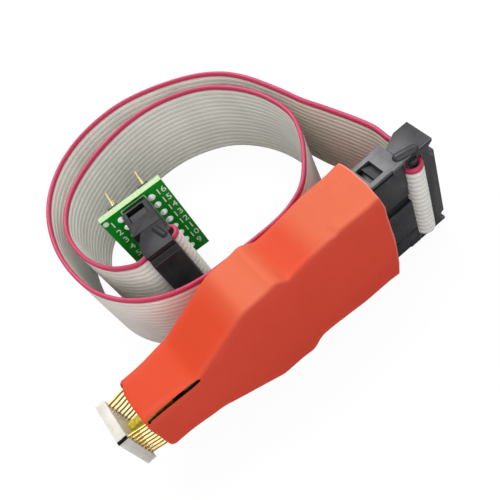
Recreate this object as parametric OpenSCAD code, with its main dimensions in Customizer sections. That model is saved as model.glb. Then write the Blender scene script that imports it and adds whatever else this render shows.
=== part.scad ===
// SOIC test clip: two rows of spring contacts in a guide frame, fanned out by two boards
// to a 2 x 8 pin header, with a ribbon cable and a 16-pin DIP adapter on its far end.
// X runs along the clip towards its nose, Y through its thickness, Z up along its width.
// The clip stands on its edge, and the origin is under the middle of the clip.

/* [Chip and contacts] */
// Pins on each side of the chip and of every connector
pins_per_row = 8; // [4:1:8]
// Pitch of the chip's leads
chip_pitch = 1.27; // [1.0:0.01:1.27]
// Width of one spring contact
contact_w = 0.5; // [0.3:0.05:0.5]
// Thickness of the contact strip
contact_t = 0.25; // [0.2:0.01:0.3]
// Length of the contacts in front of the boards
contact_free_l = 11.0; // [10.5:0.1:12]
// How far each row steps inwards before the guide frame
contact_step = 0.45; // [0.3:0.05:0.6]
// Distance between the two rows' contact points
lead_span = 6.0; // [5.8:0.1:6.4]
// Length of the soldered tail of a contact
tail_l = 6.5; // [4:0.1:7]

/* [Guide frame] */
// Depth of the frame along the clip
frame_d = 1.9; // [1.6:0.1:2.4]
// Thickness of the frame's end walls
frame_end_wall = 0.6; // [0.4:0.05:0.9]
// Thickness left outside each contact slot
frame_skin = 0.25; // [0.2:0.01:0.4]
// Length of the pocket that takes the chip's body
pocket_l = 10.2; // [10:0.1:10.4]
// Thickness of the web behind the chip
web_t = 0.5; // [0.4:0.05:0.7]
// Width of the square post that carries the frame
post_w = 1.8; // [1.6:0.1:2.4]
// How far the post is set into the spacer
post_seat = 4.0; // [3:0.1:5]

/* [Fan-out boards] */
// Thickness of each board
board_t = 1.6; // [1.0:0.1:1.7]
// Length of the boards
board_l = 47.6; // [44:0.1:50]
// Width at the header
board_rear_w = 24.6; // [22:0.1:26]
// Width at the waist
board_waist_w = 21.6; // [21.2:0.1:22]
// Width at the shoulders
board_shoulder_w = 25.9; // [24:0.1:27]
// Width at the contacts
board_nose_w = 11.0; // [10.6:0.1:12]
// Length of the spacer between the boards behind the contacts
spacer_l = 8.0; // [6:0.1:9]
// Height of the solder joints
solder_h = 0.35; // [0.2:0.01:0.5]

/* [Pin headers] */
// Pitch of the headers and of the ribbon sockets
header_pitch = 2.54; // [2.5:0.01:2.54]
// Thickness of a header's plastic base
header_base_t = 2.5; // [2.3:0.1:2.6]
// Width of a square pin
pin_w = 0.64; // [0.5:0.01:0.66]
// Length of a pin in front of its base
pin_l = 6.0; // [5:0.1:6.2]

/* [Heat-shrink sleeve] */
// Wall of the shrunk tube
sleeve_wall = 0.75; // [0.5:0.05:1.0]
// Room over the solder under the tube
sleeve_gap = 0.1; // [0.05:0.01:0.2]
// Length of the tube
sleeve_l = 54.7; // [52:0.1:55]
// How much further the tube bulges over the contact tails
sleeve_bulge = 0.35; // [0.3:0.05:0.6]
// How far the rear mouth stands off its upper near corner
sleeve_flare = 0.75; // [0.4:0.05:0.8]
// Length of the slit at the nose
slit_l = 11.2; // [6:0.1:12]
// Width of the slit where it gapes most
slit_w = 0.75; // [0.4:0.05:1.0]
// How far behind the front mouth the slit starts
slit_back = 0.8; // [0.6:0.05:1.5]

/* [Ribbon sockets] */
// Thickness of a socket
socket_t = 6.1; // [6.0:0.1:6.4]
// Length of a socket past each edge of the ribbon
socket_end = 2.29; // [2.1:0.01:2.6]
// Height of the body under the ribbon
socket_body_h = 7.6; // [7.4:0.1:8]
// Height of the cover between the two layers of ribbon
cover_h = 2.1; // [1.9:0.1:2.6]
// Height of the strain relief's strap
strap_h = 2.8; // [2.2:0.1:3]
// How far inside the socket's side the ribbon's fold turns
fold_in = 0.3; // [0:0.05:0.5]
// Thickness of the cover's legs
leg_t = 1.05; // [0.9:0.05:1.2]
// Width of the wedge that each leg snaps over
latch_w = 3.6; // [2.8:0.1:3.8]
// Height of that wedge
latch_h = 2.2; // [1.6:0.1:2.4]
// Thickness of a contact's strip in the sockets
fork_t = 0.25; // [0.2:0.01:0.26]
// Width of a contact's strip in the sockets
fork_w = 1.0; // [0.8:0.05:1.1]

/* [Ribbon] */
// Pitch of the conductors
ribbon_pitch = 1.27; // [1.0:0.01:1.27]
// Thickness of the ribbon
ribbon_t = 0.9; // [0.7:0.05:1.0]

/* [DIP adapter] */
// Thickness of the adapter board
adapter_t = 1.6; // [1.0:0.1:1.8]
// Width of the adapter board
adapter_w = 15.0; // [14:0.1:16]
// Length of the adapter board
adapter_l = 22.6; // [22:0.1:24]
// Distance between the two rows of DIP pins
dip_span = 7.62; // [7.6:0.01:7.62]
// Thickness of the plastic strips on the DIP pins
strip_t = 2.0; // [1.8:0.1:3.2]
// Diameter of a DIP pin
dip_pin_d = 0.5; // [0.45:0.01:0.55]
// Length of a DIP pin below its strip
dip_pin_l = 6.4; // [3.2:0.1:6.6]

/* [Hidden] */
$fn = 32;
EPS = 0.01;
SEAT = 0.02;      // clearance of a pivoting contact against its soldered tail
FIT = 0.1;        // clearance between plastic parts that plug or clip together
SPRING_FIT = 0.03; // clearance of a plated pin against its socket contact

// Rows of one connector
row_n = [for (i = [0 : pins_per_row - 1]) i - (pins_per_row - 1) / 2];
ribbon_w = 2 * pins_per_row * ribbon_pitch;
socket_l = ribbon_w + 2 * socket_end;
header_l = pins_per_row * header_pitch;
socket_h = socket_body_h + ribbon_t + cover_h + ribbon_t + strap_h;
fold_r = (cover_h + ribbon_t) / 2;
fold_h = socket_body_h + ribbon_t + cover_h / 2;
exit_h = socket_body_h + ribbon_t + cover_h + ribbon_t / 2;

// Stations along the clip, from the strain relief's back
mate_x = socket_h;
header_x = mate_x + FIT;
board_x0 = header_x;
board_x1 = board_x0 + board_l;
tails_x = header_x + header_base_t + 1.6;
contact_x = board_x1 + SEAT + contact_t / 2;
frame_x1 = board_x1 + contact_free_l + 0.7;
frame_x0 = frame_x1 - frame_d;
clip_l = frame_x1;
sleeve_x0 = mate_x - 0.7;
sleeve_x1 = sleeve_x0 + sleeve_l;

// Distances from the middle plane of the clip
board_y0 = header_pitch;
board_y1 = board_y0 + board_t;
tail_solder_r = chip_pitch / 2 - 0.04;
contact_y = board_y1 + contact_t / 2;
frame_half_y = contact_y - contact_step + contact_t / 2 + 0.3 + frame_skin;
frame_half_z = pocket_l / 2 + frame_end_wall;

// Half width of the boards along the clip, rounded where it turns
board_keys = [
    [board_x0, board_rear_w / 2],
    [board_x0 + 0.19 * board_l, board_rear_w / 2 - 0.2],
    [board_x0 + 0.27 * board_l, board_waist_w / 2 + 0.7],
    [board_x0 + 0.36 * board_l, board_waist_w / 2 + 0.15],
    [board_x0 + 0.42 * board_l, board_waist_w / 2],
    [board_x0 + 0.475 * board_l, board_shoulder_w / 2],
    [board_x0 + 0.52 * board_l, board_shoulder_w / 2 - 0.5],
    [board_x0 + 0.63 * board_l, board_shoulder_w / 2 - 0.65],
    [board_x0 + 0.89 * board_l, board_nose_w / 2 + 0.15],
    [board_x0 + 0.93 * board_l, board_nose_w / 2],
    [board_x1, board_nose_w / 2]];
function smooth(keys, x, r) =
    let (v = [for (k = [-3 : 3]) lookup(x + r * k / 3, keys)])
    (v[0] + v[1] + v[2] + v[3] + v[4] + v[5] + v[6]) / 7;
function board_half(x) = smooth(board_keys, x, 0.8);

// The sleeve follows the boards at skin distance, and is thicker over the contact tails and along
// its upper near corner
skin_w = sleeve_gap + sleeve_wall;
skin_y = board_y1 + solder_h + skin_w;
bulge_keys = [
    [board_x0 + 0.58 * board_l, 0],
    [board_x1 - tail_l - 1, sleeve_bulge],
    [board_x1 - 3.5, sleeve_bulge],
    [board_x1 + 2.5, 0.1],
    [sleeve_x1, 0.1]];
lift_keys = [
    [sleeve_x0, sleeve_flare],
    [board_x0 + 0.14 * board_l, 0.4],
    [board_x0 + 0.27 * board_l, 0.1],
    [board_x0 + 0.36 * board_l, 0],
    [board_x0 + 0.45 * board_l, 0.45],
    [board_x0 + 0.56 * board_l, 0.35],
    [board_x0 + 0.8 * board_l, 0.4],
    [board_x1 - tail_l - 1, sleeve_bulge],
    [board_x1 - 3.5, sleeve_bulge],
    [board_x1 + 2.5, 0.1],
    [sleeve_x1, 0.1]];
mouth_keys = [[sleeve_x0, 0.25], [mate_x + 0.6, 0.25], [mate_x + 2.6, 0]];
function sleeve_half_w(x) = board_half(x) + skin_w + lookup(x, mouth_keys);
function sleeve_half_t(x) = skin_y + smooth(bulge_keys, x, 2);
function sleeve_near_t(x) = skin_y + smooth(lift_keys, x, 1);
sleeve_n = 44;
sleeve_x = [for (i = [0 : sleeve_n]) sleeve_x0 + sleeve_l * i / sleeve_n];
corner_keys = [[sleeve_x0, 0.6], [board_x1 - 4, 0.6], [board_x1 + 1, 1.6], [sleeve_x1, 1.6]];
function sleeve_corner(x) = smooth(corner_keys, x, 2);

// Height of the clip's axis over the surface that it stands on
axis_z = max([for (x = sleeve_x) sleeve_half_w(x)]);

// The adapter leans a little, as the ribbon holds it, with an end of its socket on the surface
adapter_pos = [8.5, -33.0, 12.4];
adapter_tilt = [4, 2, -6];
adapter_mate = header_base_t + FIT;
function rot_x(p, a) = [p[0], p[1] * cos(a) - p[2] * sin(a), p[1] * sin(a) + p[2] * cos(a)];
function rot_y(p, a) = [p[0] * cos(a) + p[2] * sin(a), p[1], p[2] * cos(a) - p[0] * sin(a)];
function rot_z(p, a) = [p[0] * cos(a) - p[1] * sin(a), p[0] * sin(a) + p[1] * cos(a), p[2]];
function adapter_turn(p) =
    rot_z(rot_y(rot_x(p, adapter_tilt[0]), adapter_tilt[1]), adapter_tilt[2]);

// Middle of the ribbon's free stretch, from the clip's strain relief to the adapter's
ribbon_exit = [exit_side_x(), -socket_t / 2, axis_z];
ribbon_end = adapter_pos + adapter_turn([socket_t / 2, adapter_mate + exit_h, 0]);
function exit_side_x() = socket_h - exit_h - clip_l / 2;
ribbon_route = [
    [-33.7, -9, 13.6], [-33, -15, 12.9], [-32, -21.5, 12], [-31, -28, 11],
    [-30, -36, 10.4], [-28, -45, 10.2], [-25, -51.5, 10.2], [-20, -57, 10.2],
    [-12.5, -61.8, 10.2], [-4, -64.9, 10.2], [5, -64.9, 10.2], [13, -62.2, 10.2],
    [19.5, -57, 10.2], [24, -50, 10.2], [26.5, -41, 10.2], [26.7, -32, 10.2],
    [25, -24, 10.2], [21, -17.5, 10.2], [15.5, -13, 10.2], [8.5, -10.5, 10.2],
    [0, -9.7, 10.2], [-9, -9.5, 10.2], [-14, -10.5, 10.2], [-18, -12.6, 10.2],
    [-22, -17, 10.2], [-25.5, -22.5, 10.2], [-27.6, -29, 10.2], [-27, -37.5, 10.2],
    [-24, -45.5, 10.2], [-19, -52, 10.2], [-11, -56.6, 10.2], [-3, -58, 10.2],
    [5, -57, 10.2], [13, -54, 10.2], [19, -49.5, 10.2], [22.6, -43, 10.3],
    [23.2, -36, 10.6], [22, -29.5, 11.2], [19.2, -24, 11.8]];
route = concat([ribbon_exit, ribbon_exit + [0, -2.5, 0]], ribbon_route,
    [ribbon_end + adapter_turn([2.5, 0, 0]), ribbon_end]);

// ---- placing ----

module on_clip() {
    translate([-clip_l / 2, 0, axis_z]) children();
}

module on_clip_plug() {
    on_clip() translate([socket_h, 0, 0]) rotate([90, 0, -90]) children();
}

module on_adapter() {
    translate(adapter_pos) rotate(adapter_tilt) children();
}

module on_adapter_plug() {
    on_adapter() translate([0, adapter_mate, 0]) rotate([-90, 0, 0]) children();
}

// A block from one corner to the other
module block(a, b) {
    translate(a) cube(b - a);
}

// ---- sleeve ----

function corner_arc(cy, cz, r, a0) =
    [for (k = [0 : 4]) [cy + r * cos(a0 + k * 22.5), cz + r * sin(a0 + k * 22.5)]];

function sleeve_ring(x, off) =
    let (t = sleeve_half_t(x) - off, near = sleeve_near_t(x) - off,
        w = sleeve_half_w(x) - off, r = max(0.05, sleeve_corner(x) - off),
        p = concat(
            corner_arc(t - r, w - r, r, 0), corner_arc(r - near, w - r, r, 90),
            corner_arc(r - t, r - w, r, 180), corner_arc(t - r, r - w, r, 270)))
    [for (q = p) [x, -q[0], q[1]]];

function tube_faces(n, m) = [
    for (i = [0 : n - 2], j = [0 : m - 1], k = [0, 1])
        k == 0
            ? [i * m + j, i * m + (j + 1) % m, (i + 1) * m + j]
            : [i * m + (j + 1) % m, (i + 1) * m + (j + 1) % m, (i + 1) * m + j]];

// A solid lofted through rings of m points each
module loft(rings) {
    n = len(rings);
    m = len(rings[0]);
    polyhedron(
        points = [for (r = rings, p = r) p],
        faces = concat(
            tube_faces(n, m),
            [[for (j = [m - 1 : -1 : 0]) j]],
            [[for (j = [0 : m - 1]) (n - 1) * m + j]]),
        convexity = 8);
}

// The slit follows the corner between the top and the near side
module slit_blade() {
    mid = sleeve_x1 - slit_back - slit_l / 2;
    top = sleeve_half_w(mid);
    side = sleeve_near_t(mid);
    fall = sleeve_near_t(mid + slit_l / 2) - sleeve_near_t(mid - slit_l / 2);
    tilt = atan(fall / slit_l);
    translate([mid, side - 0.5, top - 0.5])
        rotate([-45, 0, tilt])
            linear_extrude(5, center = true)
                polygon([
                    [slit_l / 2, 0], [slit_l * 0.48, -slit_w * 0.22],
                    [slit_l / 4, -slit_w * 0.37], [0, -slit_w * 0.43],
                    [-slit_l * 0.32, -slit_w / 2], [-slit_l * 0.46, -slit_w * 0.35],
                    [-slit_l / 2, 0], [-slit_l * 0.46, slit_w * 0.35],
                    [-slit_l * 0.32, slit_w / 2], [0, slit_w * 0.43],
                    [slit_l / 4, slit_w * 0.37], [slit_l * 0.48, slit_w * 0.3]]);
}

module sleeve() {
    inner_x = concat([sleeve_x0 - 1], [for (i = [1 : sleeve_n - 1]) sleeve_x[i]],
        [sleeve_x1 + 1]);
    color([0.9, 0.3, 0.2]) on_clip() difference() {
        loft([for (x = sleeve_x) sleeve_ring(x, 0)]);
        loft([for (x = inner_x) sleeve_ring(x, sleeve_wall)]);
        slit_blade();
    }
}

// ---- boards and what they carry ----

board_n = 34;
board_xs = [for (i = [0 : board_n]) board_x0 + board_l * i / board_n];

module board_outline() {
    polygon(concat(
        [for (x = board_xs) [x, board_half(x)]],
        [for (i = [board_n : -1 : 0]) [board_xs[i], -board_half(board_xs[i])]]));
}

module fan_out_board(side) {
    difference() {
        rotate([90, 0, 0])
            translate([0, 0, side > 0 ? -board_y1 : board_y0])
                linear_extrude(board_t) board_outline();
        for (i = row_n)
            translate([tails_x, side * board_y0, i * header_pitch])
                rotate([90, 0, 0]) cylinder(d = 1.0, h = 3 * board_t, center = true);
    }
}

module near_board() {
    color([0.1, 0.42, 0.2]) on_clip() fan_out_board(1);
}

module far_board() {
    color([0.1, 0.42, 0.2]) on_clip() fan_out_board(-1);
}

// Moulded base of a 2-row header: cells with cut corners, base on z = 0
module header_base() {
    cut = 0.45;
    a = header_pitch / 2;
    difference() {
        linear_extrude(header_base_t)
            for (i = row_n, s = [-1, 1])
                translate([s * a, i * header_pitch])
                    polygon([[cut - a, -a], [a - cut, -a], [a, cut - a], [a, a - cut],
                        [a - cut, a], [cut - a, a], [-a, a - cut], [-a, cut - a]]);
        for (i = row_n, s = [-1, 1])
            translate([s * a - pin_w / 2, i * header_pitch - pin_w / 2, -1])
                cube([pin_w, pin_w, header_base_t + 2]);
        for (i = row_n)
            translate([0, i * header_pitch, -EPS]) cylinder(d = 1.1, h = 0.4);
    }
}

// Square pin along z with its tip at z = -h trimmed to a cone
module square_pin(h) {
    tip = pin_w * 1.2;
    intersection() {
        translate([-pin_w / 2, -pin_w / 2, -h]) cube([pin_w, pin_w, h]);
        union() {
            translate([0, 0, tip - h]) cylinder(r = pin_w, h = h);
            translate([0, 0, -h]) cylinder(r1 = pin_w * 0.3, r2 = pin_w, h = tip);
        }
    }
}

module clip_header_base() {
    color([0.12, 0.12, 0.13]) on_clip()
        translate([header_x, 0, 0]) rotate([90, 0, 90]) header_base();
}

module clip_header_pins() {
    a = header_pitch / 2;
    reach = board_y1 + 0.2 - a;
    color([0.85, 0.7, 0.35]) on_clip()
        for (i = row_n, s = [-1, 1])
            translate([0, s * a, i * header_pitch]) {
                translate([header_x, 0, 0]) rotate([0, 90, 0]) square_pin(pin_l);
                translate([header_x, -pin_w / 2, -pin_w / 2])
                    cube([tails_x - header_x + pin_w / 2, pin_w, pin_w]);
                translate([tails_x - pin_w / 2, s > 0 ? 0 : -reach, -pin_w / 2])
                    cube([pin_w, reach, pin_w]);
            }
}

module header_solder() {
    color([0.75, 0.76, 0.78]) on_clip()
        for (i = row_n, s = [-1, 1])
            translate([tails_x, s * board_y1, i * header_pitch])
                rotate([s > 0 ? -90 : 90, 0, 0]) difference() {
                    cylinder(r1 = header_pitch / 3, r2 = header_pitch / 5, h = solder_h);
                    translate([-pin_w / 2, -pin_w / 2, -EPS])
                        cube([pin_w, pin_w, 0.2 + EPS]);
                }
}

// Plastic block that keeps the boards apart behind the contacts
module front_spacer() {
    color([0.2, 0.2, 0.2]) on_clip() difference() {
        block([board_x1 - spacer_l, -board_y0, -board_nose_w / 2 + 0.2],
            [board_x1 + 0.6, board_y0, board_nose_w / 2 - 0.2]);
        block([board_x1 - post_seat, -post_w / 2, -post_w / 2],
            [board_x1 + 2, post_w / 2, post_w / 2]);
    }
}

module centre_post() {
    color([0.9, 0.72, 0.15]) on_clip()
        block([board_x1 - post_seat, -post_w / 2, -post_w / 2],
            [frame_x0, post_w / 2, post_w / 2]);
}

// ---- contacts ----

module contact_tails(side) {
    for (i = row_n)
        translate([board_x1 - tail_l, side > 0 ? board_y1 : -board_y1 - contact_t,
            i * chip_pitch - contact_w / 2])
            cube([tail_l, contact_t, contact_w]);
}

module near_contact_tails() {
    color([0.88, 0.72, 0.3]) on_clip() contact_tails(1);
}

module far_contact_tails() {
    color([0.88, 0.72, 0.3]) on_clip() contact_tails(-1);
}

// Solder beads over the tails, flat where they lie on the board
module tail_solder() {
    l = tail_l * 0.6;
    color([0.75, 0.76, 0.78]) on_clip()
        for (i = row_n, s = [-1, 1])
            difference() {
                translate([board_x1 - tail_l + 0.8, s * (board_y1 - 0.2), i * chip_pitch]) {
                    rotate([0, 90, 0]) cylinder(r = tail_solder_r, h = l);
                }
                block([board_x1 - tail_l, s > 0 ? 0 : -board_y1, -board_nose_w],
                    [board_x1, s > 0 ? board_y1 : 0, board_nose_w]);
                block([board_x1 - tail_l - 1, s > 0 ? board_y1 - EPS : -board_y1 - contact_t,
                    i * chip_pitch - contact_w / 2],
                    [board_x1, s > 0 ? board_y1 + contact_t : EPS - board_y1,
                    i * chip_pitch + contact_w / 2]);
            }
}

// One row of spring contacts, bent inwards and bulged where it touches the leads
module contact_row(side) {
    h = contact_t / 2;
    bend = board_x1 + contact_free_l * 0.62;
    x1 = frame_x0 - 0.2;
    x2 = frame_x1 - 0.7;
    inner = contact_y - contact_step;
    touch = lead_span / 2 + 0.1;
    for (i = row_n)
        translate([0, 0, i * chip_pitch - contact_w / 2]) linear_extrude(contact_w) union() {
            polygon([for (p = [
                [contact_x, contact_y - h], [bend, contact_y - h],
                [x1 - 0.4, inner - h], [x1 + 0.4, inner - h],
                [x1 + 0.8, touch], [x1 + 1.1, touch],
                [x2, inner - h - 0.1], [x2, inner + h - 0.1],
                [x1 + 0.9, inner + h], [x1 - 0.4, inner + h],
                [bend, contact_y + h], [contact_x, contact_y + h]])
                [p[0], side * p[1]]]);
            translate([contact_x, side * contact_y]) circle(r = h);
        }
}

module near_contacts() {
    color([0.92, 0.78, 0.35]) on_clip() contact_row(1);
}

module far_contacts() {
    color([0.92, 0.78, 0.35]) on_clip() contact_row(-1);
}

// ---- guide frame ----

module guide_frame() {
    slot_w = contact_w + 0.2;
    slot_y = frame_half_y - frame_skin;
    pocket_y = lead_span / 2 - 0.1;
    color([0.9, 0.88, 0.85]) on_clip() difference() {
        block([frame_x0, -frame_half_y, -frame_half_z], [frame_x1, frame_half_y, frame_half_z]);
        block([frame_x0 + web_t, -pocket_y, -pocket_l / 2],
            [frame_x1 + 1, pocket_y, pocket_l / 2]);
        for (i = row_n, s = [-1, 1])
            block([frame_x0 - 1, s > 0 ? pocket_y - 0.3 : -slot_y, i * chip_pitch - slot_w / 2],
                [frame_x1 + 1, s > 0 ? slot_y : 0.3 - pocket_y, i * chip_pitch + slot_w / 2]);
        pin_one_inlay();
    }
}

module pin_one_inlay() {
    block([frame_x0 - EPS, frame_half_y - 0.55, frame_half_z - 0.35],
        [frame_x1 + EPS, frame_half_y + EPS, frame_half_z + EPS]);
}

module pin_one_mark() {
    color([0.05, 0.05, 0.05]) on_clip()
        block([frame_x0, frame_half_y - 0.55, frame_half_z - 0.35],
            [frame_x1, frame_half_y, frame_half_z]);
}

// ---- ribbon sockets: x across the thickness, y along the length, z away from the pins ----

body_half_l = socket_l / 2 - leg_t - 0.05;
post_in = ribbon_w / 2 + 0.54;
lug_r = fold_r - ribbon_t / 2 - 0.05;
fold_x = fold_in - socket_t / 2;
latch_z = 2.2;
fork_x = header_pitch / 2 + pin_w / 2 + SPRING_FIT;
cell_out = fork_x + fork_t + 0.08;
cell_in = cell_out - 1.15;
// Recesses and the groove in one flank: where each starts and ends, and its depth
flank_cuts = [[1.0, 5.9, 0.25], [1.0, 3.0, 0.8], [-8.1, -7.8, 0.3]];

module socket_body() {
    t = socket_t / 2;
    color([0.2, 0.2, 0.22]) difference() {
        union() {
            block([-t, -body_half_l, 0], [t, body_half_l, socket_body_h]);
            for (s = [-1, 1]) latch_wedge(s);
        }
        for (i = row_n, s = [-1, 1]) {
            x0 = s > 0 ? cell_in : -cell_out;
            block([x0, i * header_pitch - fork_w / 2 - 0.15, 0.7],
                [x0 + cell_out - cell_in, i * header_pitch + fork_w / 2 + 0.15,
                socket_body_h + 1]);
            block([s * header_pitch / 2 - 0.45, i * header_pitch - 0.45, -1],
                [s * header_pitch / 2 + 0.45, i * header_pitch + 0.45, 1]);
        }
        for (c = flank_cuts)
            block([-t - 1, c[0], -1], [c[2] - t, c[1], socket_body_h + 1]);
        for (s = [-1, 1]) cover_shoulder_room(s);
    }
}

// Wedge on each end of the body, which the window of the cover's leg snaps over
module latch_wedge(s) {
    y = s * body_half_l;
    rotate([90, 0, 90])
        linear_extrude(latch_w, center = true)
            polygon([[y - s, latch_z], [y + s * 0.8, latch_z], [y, latch_z + latch_h],
                [y - s, latch_z + latch_h]]);
}

module cover_shoulder_room(s) {
    y0 = ribbon_w / 2 + 0.1;
    block([-socket_t, s > 0 ? y0 : -socket_l, 5.2 - FIT],
        [socket_t, s > 0 ? socket_l : -y0, socket_body_h + 1]);
}

module socket_cover() {
    t = socket_t / 2;
    z0 = socket_body_h + ribbon_t;
    z1 = z0 + cover_h;
    y0 = ribbon_w / 2 + 0.1 + 0.05;
    end = socket_l / 2;
    color([0.17, 0.17, 0.19]) difference() {
        union() {
            block([fold_x, FIT - post_in, z0], [t, post_in - FIT, z1]);
            for (s = [-1, 1]) {
                translate([fold_x, s * (post_in + 0.1), fold_h]) rotate([90, 0, 0])
                    cylinder(r = lug_r, h = 0.9, center = true);
                block([fold_x, s > 0 ? post_in - 0.4 : -post_in - 0.5, fold_h - lug_r],
                    [fold_x + 1, s > 0 ? post_in + 0.5 : 0.4 - post_in, fold_h + lug_r]);
                block([-t, s > 0 ? y0 : -end, 5.2], [t, s > 0 ? end : -y0, socket_body_h + 0.1]);
                block([fold_x, s > 0 ? y0 : FIT - post_in, 6],
                    [t, s > 0 ? post_in - FIT : -y0, z1]);
                block([0.2 - t, s > 0 ? end - leg_t : -end, 0.5],
                    [t - 0.2, s > 0 ? end : leg_t - end, 5.3]);
            }
        }
        for (s = [-1, 1])
            block([-latch_w / 2 - 0.15, s > 0 ? body_half_l : -socket_l, latch_z - 1.2],
                [latch_w / 2 + 0.15, s > 0 ? socket_l : -body_half_l,
                latch_z + latch_h - 0.2]);
    }
}

module strain_relief() {
    t = socket_t / 2;
    z0 = exit_h + ribbon_t / 2;
    end = socket_l / 2;
    foot = socket_body_h + 0.1 + FIT;
    color([0.19, 0.19, 0.21]) difference() {
        union() {
            block([-t, -end, z0], [t, end, socket_h]);
            for (s = [-1, 1])
                translate([0, s > 0 ? end : -post_in, 0]) rotate([90, 0, 0])
                    linear_extrude(end - post_in)
                        polygon([[-t, foot], [t - 1.6, foot], [t, foot + 3.2], [t, z0 + 1],
                            [-t, z0 + 1]]);
        }
        for (s = [-1, 1]) {
            translate([0, s * (end - 1.9), socket_h]) rotate([0, 90, 0])
                linear_extrude(2 * socket_t, center = true)
                    polygon([[-1, -1.4], [0, -1.2], [1.0, -0.5], [1.0, 0.5], [0, 1.2],
                        [-1, 1.4]]);
            translate([fold_x, s * post_in, fold_h]) rotate([90, 0, 0])
                cylinder(r = lug_r + 0.15, h = 1.4, center = true);
            block([fold_x, s > 0 ? post_in - 0.7 : -post_in - 0.7, fold_h - lug_r - 0.15],
                [fold_x + 1.2, s > 0 ? post_in + 0.7 : 0.7 - post_in, fold_h + lug_r + 0.15]);
        }
    }
}

// Contact strips with forked tips that pierce the ribbon
module socket_contacts() {
    color([0.85, 0.68, 0.3])
        for (i = row_n, s = [-1, 1])
            difference() {
                block([s > 0 ? fork_x : -fork_x - fork_t, i * header_pitch - fork_w / 2, 0.9],
                    [s > 0 ? fork_x + fork_t : -fork_x, i * header_pitch + fork_w / 2,
                    socket_body_h + ribbon_t * 0.8]);
                block([-socket_t, i * header_pitch - fork_w * 0.15, socket_body_h - 1],
                    [socket_t, i * header_pitch + fork_w * 0.15, socket_body_h + 2]);
            }
}

// The ribbon's end: through the socket, round the cover's edge and out under the strap
module ribbon_fold() {
    t = socket_t / 2;
    color([0.78, 0.77, 0.74]) {
        block([fold_x, -ribbon_w / 2, socket_body_h],
            [t, ribbon_w / 2, socket_body_h + ribbon_t]);
        block([fold_x, -ribbon_w / 2, exit_h - ribbon_t / 2],
            [t, ribbon_w / 2, exit_h + ribbon_t / 2]);
        translate([fold_x, ribbon_w / 2, fold_h]) rotate([90, 0, 0]) rotate_half()
            square([ribbon_t, ribbon_w]);
    }
}

// Half turn on the -x side of a profile that starts at the fold's inner radius
module rotate_half() {
    rotate([0, 0, 90]) rotate_extrude(angle = 180)
        translate([fold_r - ribbon_t / 2, 0]) children();
}

module clip_socket_body() {
    on_clip_plug() socket_body();
}

module clip_socket_contacts() {
    on_clip_plug() socket_contacts();
}

module clip_socket_cover() {
    on_clip_plug() socket_cover();
}

module clip_strain_relief() {
    on_clip_plug() strain_relief();
}

module clip_ribbon_fold() {
    on_clip_plug() ribbon_fold();
}

module adapter_socket_body() {
    on_adapter_plug() socket_body();
}

module adapter_socket_contacts() {
    on_adapter_plug() socket_contacts();
}

module adapter_socket_cover() {
    on_adapter_plug() socket_cover();
}

module adapter_strain_relief() {
    on_adapter_plug() strain_relief();
}

module adapter_ribbon_fold() {
    on_adapter_plug() ribbon_fold();
}

// ---- free ribbon ----

function spline(a, b, c, d, t) =
    0.5 * (2 * b + (c - a) * t + (2 * a - 5 * b + 4 * c - d) * t * t
        + (3 * b - a - 3 * c + d) * t * t * t);

function unit(v) = v / norm(v);

// Points on a smooth curve through the route, two to each stretch
function curve(p) = let (n = len(p)) concat(
    [for (i = [0 : n - 2], t = [0, 0.5])
        spline(p[max(i - 1, 0)], p[i], p[i + 1], p[min(i + 2, n - 1)], t)],
    [p[n - 1]]);

// Flat section with rounded edges, the ribbon's width along up
function ribbon_ring(p, along, up) =
    let (side = unit(cross(along, up)), high = unit(cross(side, along)),
        w = ribbon_w / 2, t = ribbon_t / 2, c = 0.25)
    [for (q = [[-t, c - w], [c - t, -w], [t - c, -w], [t, c - w],
        [t, w - c], [t - c, w], [c - t, w], [-t, w - c]])
        p + q[0] * side + q[1] * high];

module ribbon_cable() {
    p = curve(route);
    n = len(p) - 1;
    up_end = adapter_turn([0, 0, 1]);
    color([0.78, 0.77, 0.74]) loft([for (i = [0 : n])
        let (along = i == 0 ? [0, -1, 0]
            : i == n ? adapter_turn([-1, 0, 0]) : p[i + 1] - p[i - 1],
            lean = max(0, (i - n + 12) / 12))
        ribbon_ring(p[i], along, (1 - lean) * [0, 0, 1] + lean * up_end)]);
}

// ---- DIP adapter: x across the board, y away from its face, z along its length ----

dip_hole_d = dip_pin_d + 0.3;

module adapter_board() {
    color([0.0, 0.45, 0.1]) on_adapter() difference() {
        block([-adapter_w / 2, -adapter_t, -adapter_l / 2], [adapter_w / 2, 0, adapter_l / 2]);
        for (i = row_n, x = [-dip_span / 2, dip_span / 2])
            translate([x, 0, i * header_pitch]) rotate([90, 0, 0])
                cylinder(d = dip_hole_d, h = 4 * adapter_t, center = true);
        for (i = row_n, x = [-header_pitch / 2, header_pitch / 2])
            translate([x, 0, i * header_pitch]) rotate([90, 0, 0])
                cylinder(d = 1.0, h = 4 * adapter_t, center = true);
    }
}

module adapter_header_base() {
    color([0.12, 0.12, 0.13]) on_adapter()
        translate([0, header_base_t, 0]) rotate([90, 0, 0]) header_base();
}

module adapter_header_pins() {
    a = header_pitch / 2;
    color([0.85, 0.7, 0.35]) on_adapter()
        for (i = row_n, s = [-1, 1])
            translate([s * a, 0, i * header_pitch]) {
                translate([0, header_base_t, 0]) rotate([90, 0, 0]) square_pin(pin_l);
                block([-pin_w / 2, -adapter_t - 0.5, -pin_w / 2],
                    [pin_w / 2, header_base_t, pin_w / 2]);
            }
}

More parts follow.
